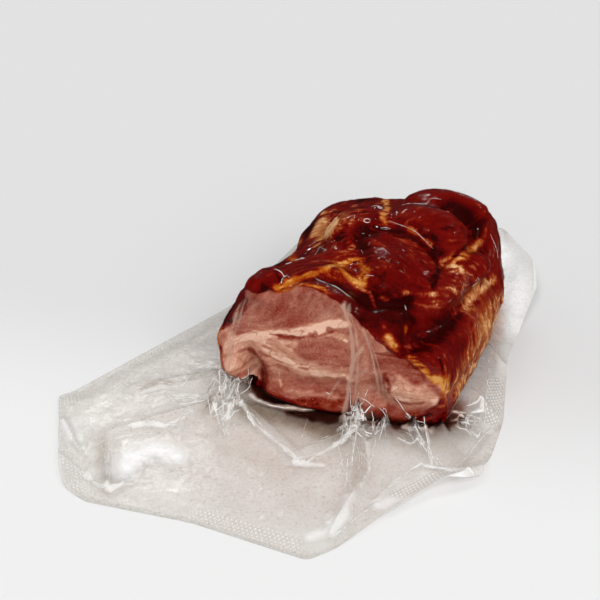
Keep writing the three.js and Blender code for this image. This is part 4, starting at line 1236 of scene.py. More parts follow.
def light_and_shade_masks(skirt):
    """Painted light, laid on as milky film, and painted shade of the film on the table."""
    marks = {True: np.zeros(skirt.out.shape), False: np.zeros(skirt.out.shape)}
    shift = rough(skirt.solid, "shift")
    for path, width, amount in FILM_LIGHT_AND_SHADE.values():
        away = (to_path(skirt.xy, path) + shift * min(width, 1.5)) / width
        marks[amount > 0] = np.maximum(marks[amount > 0], abs(amount) * np.exp(-away ** 2))
    flat = 1 - skirt.folds
    # Painted shadow on the film in front of the meat's foot.
    shade = 0.75 * np.exp(-((skirt.out / (12 + 4 * skirt.ragged)) ** 2)) * skirt.front
    dark = np.maximum.reduce([marks[False] * flat, shade * flat, skirt.darks * 0.9])
    return np.maximum(marks[True], skirt.folds), dark


def film_masks(sizes, dome, slack, skirt):
    """The film's masks by name, for the top, every ring and the last point underneath."""
    light, dark = light_and_shade_masks(skirt)
    # Painted highlights on the knots' folds at the meat's foot.
    foot_folds = knot_height(dome[..., :2])[2] * smooth_step(11, 5, dome[..., 2]) * 0.8
    # Painted shadow and juice at the meat's front foot.
    foot_juice_and_shadow = 0.7 * smooth_step(5.0, 3.0, dome[..., 2]) * smooth_step(4, 0, dome[..., 1])
    # Values over the meat, on the table and underneath.
    parts = {
        "juice": (foot_juice_and_shadow, juice_and_shadow_mask(skirt), 0.0),
        "apron": (0.0, smooth_step(0.5, 9, skirt.out), 1.0),
        "milk": (haze_mask(dome, slack, sizes.lifted_haze), 0.0, 0.0),
        "seam": (0.0, seam_mask(skirt), 0.0),
        "blot": (0.0, 1 - smooth_step(12, 34, to_path(skirt.xy, BLOTTED)), 0.0),
        # The light mask is painted highlight and light; the dark mask is painted shade.
        "light": (foot_folds, light, 0.0),
        "dark": (0.0, dark, 0.0),
    }
    rows = (len(dome), len(skirt.out), len(UNDER_SHARES))
    masks = {}
    for name, values in parts.items():
        grid = np.concatenate([v + np.zeros((count, sizes.columns)) for v, count in zip(values, rows)])
        masks[name] = np.concatenate([grid[:1, 0], grid.reshape(-1), grid[-1:, 0]])
    return masks


def build_film(sizes, material, meat):
    """Film over the meat, down to its foot and out to the bag's edge, then back underneath."""
    outline = outline_points(sizes.columns)
    spoke = outline - BAG_CENTRE
    length = np.linalg.norm(spoke, axis=1)
    spoke = spoke / length[:, None]
    dome, slack, foot = film_dome(sizes, meat, spoke)
    skirt = film_skirt(sizes, dome, foot, outline, spoke, length)
    under = film_underside(skirt.start, spoke, length)
    rings = np.concatenate([dome[1:], skirt.points, under])
    points = np.concatenate([dome[0, :1], rings.reshape(-1, 3), [[*BAG_CENTRE, UNDERSIDE]]])
    masks = film_masks(sizes, dome[1:], slack[1:], skirt)
    return new_object("vacuum_film", points, ring_faces(sizes.columns, len(rings)), masks, material)


def smooth_path(points, step):
    """Points closely spaced along a smooth curve through the given ones."""
    p = np.array(points, float)
    ends = np.concatenate([2 * p[:1] - p[1:2], p, 2 * p[-1:] - p[-2:-1]])
    out = []
    for a, b, c, d in zip(ends, ends[1:], ends[2:], ends[3:]):
        count = max(2, int(np.linalg.norm(c - b) / step) + 1)
        t = np.linspace(0, 1, count, endpoint=False)[:, None]
        square, cube = 2 * a - 5 * b + 4 * c - d, 3 * b - a - 3 * c + d
        out.append(0.5 * (2 * b + (c - a) * t + square * t ** 2 + cube * t ** 3))
    return np.concatenate(out + [p[-1:]])


def wander(path, size, seeds, amount):
    """The path pushed about by noise, with one seed for each axis."""
    at = np.c_[path, path[:, :1]] if path.shape[1] == 2 else path
    return path + amount * np.stack([noise(at, size, seed) for seed in seeds], 1)


def bent_line(a, b, count, bend):
    """Points from a to b, bent in the middle."""
    t = np.linspace(0, 1, count)[:, None]
    return a * (1 - t) + b * t + np.sin(np.pi * t) * bend


def strand(path, radius, sides=6):
    """A thin tube along the path, fading to points at its ends."""
    run = np.gradient(path, axis=0)
    run /= np.linalg.norm(run, axis=1, keepdims=True) + TINY
    side = np.cross(run, np.array([0.13, -0.31, 0.94]))
    side /= np.linalg.norm(side, axis=1, keepdims=True) + TINY
    up = np.cross(side, run)
    fade = np.clip(np.sin(np.pi * np.linspace(0, 1, len(path))), 0, 1) ** 0.35
    turn = (np.arange(sides) * 2 * np.pi / sides)[:, None]
    ring = side[:, None] * np.cos(turn) + up[:, None] * np.sin(turn)
    rings = path[1:-1, None] + ring[1:-1] * (radius * fade[1:-1])[:, None, None]
    points = np.concatenate([path[:1], rings.reshape(-1, 3), path[-1:]])
    return points, [face[::-1] for face in ring_faces(sides, len(rings))]


class FilmSurface:
    """Finds places on the film, in millimetres."""

    def __init__(self, film):
        self.tree = BVHTree.FromObject(film, bpy.context.evaluated_depsgraph_get())

    def nearest(self, p):
        """The place on the film that is nearest to a point."""
        place, normal, _, _ = self.tree.find_nearest(Vector((np.array(p) + SHIFT) * MM))
        return np.array(place + normal * OFF_FILM) / MM - SHIFT

    def below(self, p):
        """The film on the table under a point."""
        start = (np.array([p[0], p[1], 100.0]) + SHIFT) * MM
        hit = self.tree.ray_cast(Vector(start), Vector((0, 0, -1)), 0.2)[0]
        top = np.array([p[0], p[1], 1.0]) if hit is None else np.array(hit) / MM - SHIFT
        return top if top[2] < TABLE_TOP else self.nearest([p[0], p[1], 4.0])

    def lay(self, path):
        """The path laid on the film over the meat."""
        return np.array([self.nearest(p) for p in path])

    def drop(self, path):
        """The path dropped on the film on the table."""
        return np.array([self.below(p) for p in path])


def meat_creases(film):
    """Creases over the meat, pale lines that are partly painted glints, warm and faint on the cut face."""
    creases = []
    for points, radius in MEAT_CREASES.values():
        on_face = points[-1][1] < 1.5 and points[0][2] > 15
        path = film.lay(smooth_path(points, 0.6))
        creases.append(Crease(path, radius * 0.5, 0.3 if on_face else 1.4, float(on_face)))
    return creases


def air_rings(film):
    """White lines, painted glints, round the small rings of trapped air."""
    creases = []
    turn = np.linspace(0, 2 * np.pi, 19)[:, None]
    for centre, long, high in RINGS.values():
        ring = np.array(centre) + long * np.cos(turn) * RING_ACROSS + high * np.sin(turn) * RING_UP
        creases.append(Crease(film.lay(ring), RING_LINE, 1.0, 0.0))
    return creases


def sheet_creases(film):
    """Creases of the film on the table."""
    creases = []
    for points, radius in SHEET_CREASES.values():
        path = wander(smooth_path(points, 0.8), 4.0, (91, 92), 0.35)
        creases.append(Crease(film.drop(path), radius * 0.55, 0.8, 0.0))
    return creases


def knot_net(film, dice, centre, reach, height, count):
    """Short creases between points scattered through one knot of crumpled film."""
    nodes = np.array(centre) + dice.normal(0, 0.4, (count, 2)) * reach
    low = film.drop(nodes)
    fade = np.exp(-((nodes - np.array(centre)) ** 2).sum(1) / reach ** 2)
    low[:, 2] += dice.uniform(0, 1, count) ** 1.5 * height * 0.7 * fade
    apart = np.linalg.norm(low[:, None] - low[None], axis=-1) + np.eye(count) * 99
    nearest = np.argsort(apart, 1)[:, :3]
    creases = []
    for i, others in enumerate(nearest):
        for j in others:
            if i < j or i not in nearest[j]:
                path = bent_line(low[i], low[j], 6, dice.normal(0, 0.04, 3) * apart[i, j])
                creases.append(Crease(path, dice.uniform(0.05, 0.15), dice.uniform(0.4, 2.0), 0.0))
    return creases


def knot_folds(film):
    """The larger white folds of the gathered film, their whiteness partly painted highlight."""
    creases = []
    for points, radius in KNOT_FOLDS.values():
        path = wander(smooth_path(points, 0.7), 2.5, (93, 94, 95), 0.3)
        top = film.drop(path)[:, 2]
        path[:, 2] = np.maximum(top + 0.1, path[:, 2] * 0.6 + top * 0.4)
        creases.append(Crease(path, radius * 0.6, 2.0, 0.0))
    return creases


def fine_wrinkles(film, dice):
    """Short fine wrinkles of the film over the meat."""
    creases = []
    for middle, reach, many, run in WRINKLES.values():
        run = np.array(run) / np.linalg.norm(run)
        for start in np.array(middle) + dice.normal(0, 0.5, (many, 3)) * reach:
            step = (run + dice.normal(0, 0.45, 3)) * dice.uniform(0.3, 1.1)
            path = film.lay([start + step * k + dice.normal(0, 0.15, 3) for k in range(5)])
            creases.append(Crease(path, dice.uniform(0.03, 0.08), dice.uniform(0.1, 0.6), 1.0))
    return creases


def knot_laces(dice):
    """Strands laced between and along the middle knot's two edges."""
    edges = [smooth_path(points, 0.7) for points in TANGLE]

    def on_edge(side, share):
        return edges[side][int(np.clip(share, 0, 0.999) * len(edges[side]))]

    creases = []
    for k in range(LACES):
        share = dice.uniform(0, 1)
        a, b = on_edge(0, share), on_edge(1, share + dice.normal(0, 0.13))
        if k % 4 == 0:
            side = k % 8 // 4
            a, b = on_edge(side, share), on_edge(side, share + 0.3)
        path = bent_line(a, b, 7, dice.normal(0, 0.5, 3))
        creases.append(Crease(path, dice.uniform(0.14, 0.34), dice.uniform(1.2, 3.0), 0.0))
    return creases


def knot_rays(film, dice):
    """Fans of fine creases that run out from the knots."""
    creases = []
    for start, end, spread, many in RAYS.values():
        for _ in range(many):
            a = np.array(start) + dice.normal(0, 0.35, 2) * spread
            b = np.array(end) + dice.normal(0, 0.8, 2) * spread
            s = np.linspace(dice.uniform(0, 0.3), dice.uniform(0.6, 1), 16)[:, None]
            path = a * (1 - s) + b * s + np.sin(s * 9) * dice.normal(0, 0.3, 2)
            creases.append(Crease(film.drop(path), dice.uniform(0.06, 0.18), dice.uniform(0.3, 1.5), 0.0))
    return creases


def crease_strand(crease):
    """The points and faces of one crease, its path evened and given at least six points."""
    path = crease.path
    if len(path) < 4:
        at = np.linspace(0, len(path) - 1, 6)
        path = np.stack([np.interp(at, np.arange(len(path)), path[:, k]) for k in range(3)], 1)
    path[1:-1] = path[1:-1] * 0.6 + (path[:-2] + path[2:]) * 0.2
    return strand(path, crease.radius)


def build_creases(material, film_object):
    """The film's creases, strings and trapped rings, laid on the film as pale lines that are partly painted
    highlights.
    """
    film = FilmSurface(film_object)
    dice = np.random.default_rng(17)
    creases = meat_creases(film) + air_rings(film) + sheet_creases(film)
    for centre, reach, height, count in KNOTS.values():
        creases += knot_net(film, dice, centre, reach, height, count)
    creases += knot_folds(film) + fine_wrinkles(film, dice) + knot_laces(dice) + knot_rays(film, dice)
    points, faces, count = [], [], 0
    masks = {"cover": [], "warmth": []}
    for crease in creases:
        own_points, own_faces = crease_strand(crease)
        points.append(own_points)
        faces += [[n + count for n in face] for face in own_faces]
        count += len(own_points)
        for name, values in masks.items():
            values.append(np.full(len(own_points), getattr(crease, name)))
    masks = {name: np.concatenate(values) for name, values in masks.items()}
    return new_object("film_creases", np.concatenate(points), faces, masks, material)


def is_output(value):
    return hasattr(value, "node")


def add_node(tree, kind, inputs=None, **settings):
    """A new node with its settings, its inputs linked to outputs or set to plain values."""
    node = tree.nodes.new(kind)
    for key, value in settings.items():
        setattr(node, key, value)
    for slot, value in (inputs or {}).items():
        if is_output(value):
            tree.links.new(value, node.inputs[slot])
        else:
            node.inputs[slot].default_value = value
    return node


def lay_out(tree):
    """Places every node in a column to the left of all that it feeds."""
    column = {node.name: 0 for node in tree.nodes}
    moved = True
    while moved:
        moved = False
        for link in tree.links:
            place = column[link.to_node.name] + 1
            if column[link.from_node.name] < place:
                column[link.from_node.name] = place
                moved = True
    filled = {}
    for node in tree.nodes:
        place = column[node.name]
        filled[place] = filled.get(place, 0) + 1
        node.location = (-NODE_WIDTH * place, -NODE_HEIGHT * filled[place])


def calc(tree, how, a, b=0.0, clamp=False):
    """The output of a math node."""
    return add_node(tree, "ShaderNodeMath", {0: a, 1: b}, operation=how, use_clamp=clamp).outputs[0]


def times(tree, a, b):
    return calc(tree, "MULTIPLY", a, b)


def minus(tree, a, b, clamp=False):
    return calc(tree, "SUBTRACT", a, b, clamp)


def total(tree, *values):
    """Sum of (value, factor) pairs."""
    out = None
    for value, factor in values:
        part = times(tree, value, factor)
        out = part if out is None else calc(tree, "ADD", out, part)
    return out


def ramp(tree, source, low, high, to_low=0.0, to_high=1.0):
    """The source eased from one range into another."""
    inputs = {"Value": source, "From Min": low, "From Max": high, "To Min": to_low, "To Max": to_high}
    return add_node(tree, "ShaderNodeMapRange", inputs, interpolation_type="SMOOTHSTEP").outputs["Result"]


def colour(value):
    """A plain colour with its alpha; an output as it is."""
    return value if is_output(value) else (*value, 1.0)


def mix_colour(tree, fac, a, b, mode="MIX"):
    """Two colours mixed by a factor."""
    inputs = {0: fac, 6: colour(a), 7: colour(b)}
    return add_node(tree, "ShaderNodeMix", inputs, data_type="RGBA", blend_type=mode).outputs[2]


def colour_ramp(tree, source, stops):
    """Colours laid along a value, as pairs of place and colour."""
    node = add_node(tree, "ShaderNodeValToRGB", {0: source})
    points = node.color_ramp.elements
    while len(points) < len(stops):
        points.new(0.5)
    for point, (place, _) in zip(points, stops):
        point.position = place
    for point, (_, tint) in zip(points, stops):
        point.color = colour(tint)
    return node.outputs[0]


def mix_shader(tree, fac, a, b):
    return add_node(tree, "ShaderNodeMixShader", {0: fac, 1: a.outputs[0], 2: b.outputs[0]})


def read_masks(tree, *names):
    """The mesh's masks, by their names."""
    masks = SimpleNamespace()
    for name in names:
        node = add_node(tree, "ShaderNodeAttribute", attribute_name=name, attribute_type="GEOMETRY")
        setattr(masks, name, node.outputs["Fac"])
    return masks


def noise_group():
    """The node group for noise over the object, which all the materials share."""
    name = "Rough noise"
    if name in bpy.data.node_groups:
        return bpy.data.node_groups[name]
    tree = bpy.data.node_groups.new(name, "ShaderNodeTree")
    keys = ("Scale", "Detail", "Distortion")
    for key in keys:
        tree.interface.new_socket(key, in_out="INPUT", socket_type="NodeSocketFloat")
    tree.interface.new_socket("Value", in_out="OUTPUT", socket_type="NodeSocketFloat")
    given = add_node(tree, "NodeGroupInput").outputs
    where = add_node(tree, "ShaderNodeTexCoord").outputs["Object"]
    inputs = {"Vector": where, "Roughness": NOISE_ROUGHNESS, **{key: given[key] for key in keys}}
    grain = add_node(tree, "ShaderNodeTexNoise", inputs)
    add_node(tree, "NodeGroupOutput", {"Value": grain.outputs["Fac"]})
    lay_out(tree)
    return tree


def rough_noise(tree, scale, detail=4.0, distortion=0.0):
    inputs = {"Scale": scale, "Detail": detail, "Distortion": distortion}
    return add_node(tree, "ShaderNodeGroup", inputs, node_tree=noise_group()).outputs["Value"]


def new_material(name):
    material = bpy.data.materials.new(name)
    material.use_nodes = True
    material.node_tree.nodes.clear()
    return material, material.node_tree


def finish_tree(tree, shader, output="ShaderNodeOutputMaterial"):
    """Adds the output and puts every node in its place."""
    add_node(tree, output, {"Surface": shader.outputs[0]})
    lay_out(tree)


def crust_colour(tree, look, mask, patchy, small, tiny):
    """One run of colours from black-red through brown to fat, led by fibres, patches and cracks, with painted
    light and shade from the spots and painted shade in creases and cracks.
    """
    grain = total(tree, (mask.fibre, 0.9), (mask.strand, 0.5), (small, 1.25), (tiny, 0.9))
    crest = ramp(tree, grain, 0.25, 0.95)
    furrow = ramp(tree, grain, -0.35, -1.0)
    # Thin pale threads that cross each other.
    thread = minus(tree, rough_noise(tree, 300.0, 3.0, 1.5), 0.5)
    thread = ramp(tree, calc(tree, "ABSOLUTE", thread), 0.035, 0.0)
    streaky = total(tree, (mask.fat, 1.15), (grain, 0.5), (thread, 0.14))
    covered = times(tree, ramp(tree, streaky, 0.22, 1.1), ramp(tree, mask.fat, 0.02, 0.3))
    # Painted shade from creases and cracks darkens the level; the spots add painted light and shade.
    level = total(
        tree, (patchy, 0.3), (grain, 0.13), (crest, 0.22), (furrow, -0.16), (thread, 0.05),
        (mask.shade, 1.0), (mask.fat, 0.26), (covered, 0.5), (mask.deep, -0.55), (1.0, 0.245))
    brown = colour_ramp(tree, level, (
        (0.0, look.crust_black), (0.15, look.crust_deep), (0.33, look.crust_red),
        (0.5, look.crust_brown), (0.66, look.crust_light), (0.83, look.skin_fat), (1.0, look.skin_pale)))
    amber = colour_ramp(tree, level, (
        (0.0, look.crust_black), (0.15, look.crust_deep), (0.3, look.crust_red),
        (0.48, look.amber_brown), (0.74, look.amber_gold), (1.0, look.amber_light)))
    return mix_colour(tree, mask.tone, amber, brown)


def cut_colour(tree, look, mask, patchy, small, tiny):
    """Brown rim and lines, partly painted shade, pink lean, then fat, with the grain running along the bands.
    """
    vein = ramp(tree, calc(tree, "ABSOLUTE", mask.strand), 0.09, 0.0)
    lines = calc(tree, "MULTIPLY", vein, minus(tree, mask.face_fat, 0.35), True)
    speck = times(tree, tiny, minus(tree, 1.15, mask.face_fat))
    level = total(
        tree, (mask.face_fat, 0.55), (lines, -0.36), (speck, 0.5), (small, 0.4), (patchy, 0.3),
        (mask.fibre, 0.1), (mask.strand, 0.14), (mask.stain, -0.6), (1.0, 0.345))
    return colour_ramp(tree, level, (
        (0.0, look.face_black), (0.12, look.face_brown), (0.27, look.lean_deep), (0.4, look.lean),
        (0.53, look.lean_light), (0.68, look.face_mix), (0.84, look.face_fat), (1.0, look.face_white)))


def meat_material(look):
    """Crust and cut face in one material, told apart by a mask."""
    material, tree = new_material("Smoked crust and cut meat")
    names = ("cut", "fat", "tone", "deep", "face_fat", "stain", "fibre", "strand", "shade")
    mask = read_masks(tree, *names)
    grains = [minus(tree, rough_noise(tree, *settings), 0.5) for settings in (
        (90.0, 4.0, 0.6), (420.0, 5.0, 1.2), (1100.0, 3.0, 0.4))]
    crust, face = crust_colour(tree, look, mask, *grains), cut_colour(tree, look, mask, *grains)
    _, small, tiny = grains
    height = total(tree, (tiny, 0.5), (small, 0.9))
    bump = add_node(tree, "ShaderNodeBump", {"Strength": 0.5, "Distance": 0.0005, "Height": height})
    shader = add_node(tree, "ShaderNodeBsdfPrincipled", {
        "Roughness": look.meat_roughness,
        "Specular IOR Level": look.meat_specular,
        "Base Color": mix_colour(tree, mask.cut, crust, face),
        "Normal": bump.outputs["Normal"],
    })
    finish_tree(tree, shader)
    return material


def embossed(tree, seam, scale):
    """The seam's emboss: two families of fine ridges that cross each other."""
    where = add_node(tree, "ShaderNodeTexCoord").outputs["Object"]
    ridges = []
    for angle in EMBOSS_ANGLES:
        turn = add_node(tree, "ShaderNodeMapping", {"Vector": where, "Rotation": (0, 0, angle)})
        wave = add_node(tree, "ShaderNodeTexWave", {"Vector": turn.outputs["Vector"], "Scale": scale})
        ridges.append(wave.outputs["Fac"])
    return times(tree, times(tree, *ridges), seam)


def film_relief(tree, mask, grain, emboss):
    """The film's fine wrinkles and the seam's ridges, as a normal."""
    on_table = times(tree, grain.crinkle, mask.apron)
    on_meat = times(tree, grain.close, minus(tree, 1.15, mask.apron))
    height = total(tree, (on_table, 1.6), (on_meat, 0.65), (grain.fine, 0.15), (emboss, 0.5))
    bump = add_node(tree, "ShaderNodeBump", {"Strength": 0.5, "Distance": 0.0006, "Height": height})
    return bump.outputs["Normal"]


def lit_folds(tree, mask, grain, emboss):
    """Painted highlights and light on the film's folds and marks, broken by the hollows of the seam's emboss.
    """
    lit = times(tree, mask.light, ramp(tree, grain.fine, 0.3, 0.55, 0.88, 1.0))
    hollows = times(tree, minus(tree, mask.seam, emboss), 0.55)
    return times(tree, lit, minus(tree, 1.0, hollows, True))


def film_haze(tree, look, mask, grain, emboss, lit):
    """How milky the film is: lines over the cut, painted highlights laid on as milky film, or the cloudy film
    on the table.
    """
    cloudy = total(tree, (grain.cloud, 0.4), (grain.crinkle, 0.4), (grain.fine, 0.25), (grain.close, 0.15))
    sheet = ramp(tree, cloudy, 0.45, 0.75, look.apron_haze * 0.4, look.apron_haze * 1.6)
    sheet = times(tree, calc(tree, "ADD", sheet, times(tree, emboss, 0.6)), mask.apron)
    # Meat juice, painted shadow and painted shade leave the film clear.
    soaked = total(tree, (mask.juice, 0.9), (mask.dark, 0.5))
    sheet = times(tree, sheet, minus(tree, 1.0, soaked, True))
    return calc(tree, "MAXIMUM", calc(tree, "MAXIMUM", mask.milk, lit), sheet, True)


def film_tint(tree, look, mask, grain):
    """What the film lets through: its own tint, meat juice with painted shadow under the meat's lip, painted
    shade in its folds and near the meat, and dried specks.
    """
    tint = mix_colour(tree, mask.apron, CLEAR, look.film_tint)
    wet = colour_ramp(tree, mask.juice, ((0.0, CLEAR), (0.4, look.juice_thin), (1.0, look.juice)))
    tint = mix_colour(tree, 1.0, tint, wet, "MULTIPLY")
    # Painted shade, multiplied into the tint.
    shaded = times(tree, mask.dark, ramp(tree, grain.crinkle, 0.3, 0.6, 0.6, 1.1))
    unlit = times(tree, mask.apron, minus(tree, 0.16, times(tree, mask.light, 0.16)))
    grime = times(tree, ramp(tree, grain.fine, 0.5, 0.72), unlit)
    shaded = calc(tree, "MAXIMUM", shaded, grime, True)
    tint = mix_colour(tree, shaded, tint, look.fold_shade, "MULTIPLY")
    specks = times(tree, mask.blot, ramp(tree, grain.fine, 0.58, 0.7))
    return mix_colour(tree, specks, tint, look.film_stain)


def film_milk(tree, look, mask, grain, lit):
    """Colour of milky film: stained in places, white where painted highlights are laid on, warm over the
    meat.
    """
    stained = times(tree, mask.blot, ramp(tree, grain.crinkle, 0.35, 0.7))
    milk = mix_colour(tree, stained, look.film_milk, look.film_stain)
    milk = mix_colour(tree, lit, milk, look.crease_white)
    return mix_colour(tree, minus(tree, 1.0, mask.apron, True), milk, look.crease_warm)


def film_material(look):
    """Clear film that is milky in places, with a thin shine on top."""
    material, tree = new_material("Clear vacuum film")
    mask = read_masks(tree, "juice", "apron", "milk", "seam", "blot", "light", "dark")
    grain = SimpleNamespace(
        cloud=rough_noise(tree, 30.0, 4.0, 0.4),
        crinkle=rough_noise(tree, 80.0, 5.0, 1.2),
        fine=rough_noise(tree, 700.0, 3.0, 0.5),
        close=rough_noise(tree, 240.0, 3.0, 1.5),
    )
    emboss = embossed(tree, mask.seam, look.emboss_scale)
    lit = lit_folds(tree, mask, grain, emboss)
    haze = film_haze(tree, look, mask, grain, emboss, lit)
    normal = film_relief(tree, mask, grain, emboss)
    clear = add_node(tree, "ShaderNodeBsdfTransparent", {"Color": film_tint(tree, look, mask, grain)})
    milk = film_milk(tree, look, mask, grain, lit)
    milky = add_node(tree, "ShaderNodeBsdfPrincipled", {"Roughness": 0.5, "Base Color": milk})
    rough_film = ramp(tree, mask.apron, 0.0, 1.0, look.film_roughness, look.apron_roughness)
    gloss = add_node(tree, "ShaderNodeBsdfGlossy", {"Roughness": rough_film, "Normal": normal})
    # The film reflects alike from both sides, so its index is turned over on the back.
    inside = add_node(tree, "ShaderNodeNewGeometry").outputs["Backfacing"]
    index = ramp(tree, inside, 0.0, 1.0, look.film_ior, 1 / look.film_ior)
    fresnel = add_node(tree, "ShaderNodeFresnel", {"IOR": index, "Normal": normal})
    shine = calc(tree, "MINIMUM", fresnel.outputs[0], look.film_shine)
    finish_tree(tree, mix_shader(tree, shine, mix_shader(tree, haze, clear, milky), gloss))
    return material


def crease_material(look):
    """White film that lets through what is behind it in places; its whiteness is partly painted highlight."""
    material, tree = new_material("Film crease")
    mask = read_masks(tree, "cover", "warmth")
    pale = mix_colour(tree, mask.warmth, look.crease_white, look.crease_warm)
    white = add_node(tree, "ShaderNodeBsdfPrincipled", {"Roughness": 0.25, "Base Color": pale})
    clear = add_node(tree, "ShaderNodeBsdfTransparent")
    thin, thick = look.crease_cover * 0.15, look.crease_cover * 1.5
    broken = ramp(tree, rough_noise(tree, 260.0, 2.0), 0.36, 0.62, thin, thick)
    cover = calc(tree, "MULTIPLY", broken, mask.cover, True)
    finish_tree(tree, mix_shader(tree, cover, clear, white))
    return material


def floor_material(stage):
    """Plain and pale, a little darker at the back by painted shade."""
    material, tree = new_material("Plain floor")
    where = add_node(tree, "ShaderNodeTexCoord").outputs["Object"]
    split = add_node(tree, "ShaderNodeSeparateXYZ", {0: where})
    far = ramp(tree, split.outputs["Y"], *FLOOR_FADE)
    plain = mix_colour(tree, far, stage.floor, stage.floor_far)
    inputs = {"Base Color": plain, "Roughness": 0.9, "Specular IOR Level": 0.0}
    finish_tree(tree, add_node(tree, "ShaderNodeBsdfPrincipled", inputs))
    return material


def add_floor(stage):
    """One large square under the part."""
    corners = [(x * FLOOR_HALF, y * FLOOR_HALF, 0) for x, y in ((-1, -1), (1, -1), (1, 1), (-1, 1))]
    mesh = bpy.data.meshes.new("floor")
    mesh.from_pydata(corners, [], [(0, 1, 2, 3)])
    mesh.materials.append(floor_material(stage))
    floor = bpy.data.objects.new("floor", mesh)
    floor.visible_glossy = False
    bpy.context.scene.collection.objects.link(floor)
    return floor


def add_lamp(name, kind, place, aim, **settings):
    """A lamp at its place, turned towards its aim."""
    data = bpy.data.lights.new(name, kind)
    for key, value in settings.items():
        setattr(data, key, value)
    lamp = bpy.data.objects.new(name, data)
    lamp.location = place
    lamp.rotation_euler = (Vector(aim) - Vector(place)).to_track_quat("-Z", "Y").to_euler()
    bpy.context.scene.collection.objects.link(lamp)
    return lamp


def add_lamps(stage):
    """Two soft suns that light the scene, and small lamps that are seen only as glints."""
    lamps = []
    for name, (angle, place) in SUNS.items():
        strength = getattr(stage, name)
        lamps.append(add_lamp(name, "SUN", place, (0, 0, 0), energy=strength, angle=math.radians(angle)))
        lamps[-1].visible_glossy = False
    for name, (power, wide, high, place, aim) in GLINTS.items():
        energy = power * stage.softbox
        lamps.append(add_lamp(
            name, "AREA", place, aim, shape="RECTANGLE", energy=energy, size=wide, size_y=high))
        lamps[-1].visible_diffuse = False
    return lamps


def studio_world(stage):
    """Even light all round, and a dim backdrop where the film mirrors it."""
    world = bpy.data.worlds.new("Studio")
    world.use_nodes = True
    tree = world.node_tree
    tree.nodes.clear()
    where = add_node(tree, "ShaderNodeTexCoord").outputs["Generated"]
    toward = add_node(tree, "ShaderNodeSeparateXYZ", {0: where})
    behind = ramp(tree, toward.outputs["Y"], *BACKDROP_FADE, 0.02, stage.backdrop)
    bright = add_node(tree, "ShaderNodeBackground", {"Color": (1, 1, 1, 1), "Strength": stage.air})
    dark = add_node(tree, "ShaderNodeBackground", {"Color": (1, 0.98, 0.96, 1), "Strength": behind})
    glossy = add_node(tree, "ShaderNodeLightPath").outputs["Is Glossy Ray"]
    finish_tree(tree, mix_shader(tree, glossy, bright, dark), "ShaderNodeOutputWorld")
    return world


def add_camera(stage):
    """The camera at the photograph's angle."""
    back = Vector((
        math.sin(stage.azimuth) * math.cos(stage.elevation),
        -math.cos(stage.azimuth) * math.cos(stage.elevation),
        math.sin(stage.elevation),
    ))
    data = bpy.data.cameras.new("camera")
    data.sensor_width = SENSOR
    data.lens = SENSOR / 2 / math.tan(stage.field_of_view / 2)
    data.clip_start = 0.01
    camera = bpy.data.objects.new("camera", data)
    camera.location = (Vector(TARGET) + Vector(SHIFT)) * MM + back * stage.distance
    camera.rotation_euler = (-back).to_track_quat("-Z", "Y").to_euler()
    bpy.context.scene.collection.objects.link(camera)
    return camera


def count_property(name, description, default, low):
    return bpy.props.IntProperty(name=name, description=description, default=default, min=low)


def amount_property(name, description, default, **limits):
    return bpy.props.FloatProperty(name=name, description=description, default=default, **limits)


def share_property(name, description, default):
    return amount_property(name, description, default, min=0, max=1)


def angle_property(name, description, degrees):
    return amount_property(name, description, math.radians(degrees), subtype="ANGLE")


def tint_property(name, description, default):
    return bpy.props.FloatVectorProperty(
        name=name, description=description, subtype="COLOR", size=3, min=0, max=1, default=default)


class MeatSizes(bpy.types.PropertyGroup):
    around: count_property("Points around", "Points in each ring of the block", 520, 80)
    body_rows: count_property("Rows", "Rings from the cut face to the back", 270, 60)
    face_rings: count_property("Face rings", "Rings on the cut face", 96, 12)
    relief: amount_property("Relief", "Strength of the crust's lumps and fibres", 1.0, min=0)


class FilmSizes(bpy.types.PropertyGroup):
    columns: count_property("Columns", "Points round the film", 896, 112)
    dome_rows: count_property("Rows over the meat", "Rings from the top to the foot", 150, 30)
    skirt_rows: count_property("Rows outside", "Rings from the foot to the bag's edge", 120, 20)
    cling: amount_property("Cling", "Film's distance from the meat in millimetres", 0.22, min=0.05)
    lifted_haze: share_property("Haze over hollows", "How milky film off the cut face is", 0.03)
    taut_passes: count_property("Tautness", "How far the film spans hollows", 6, 0)


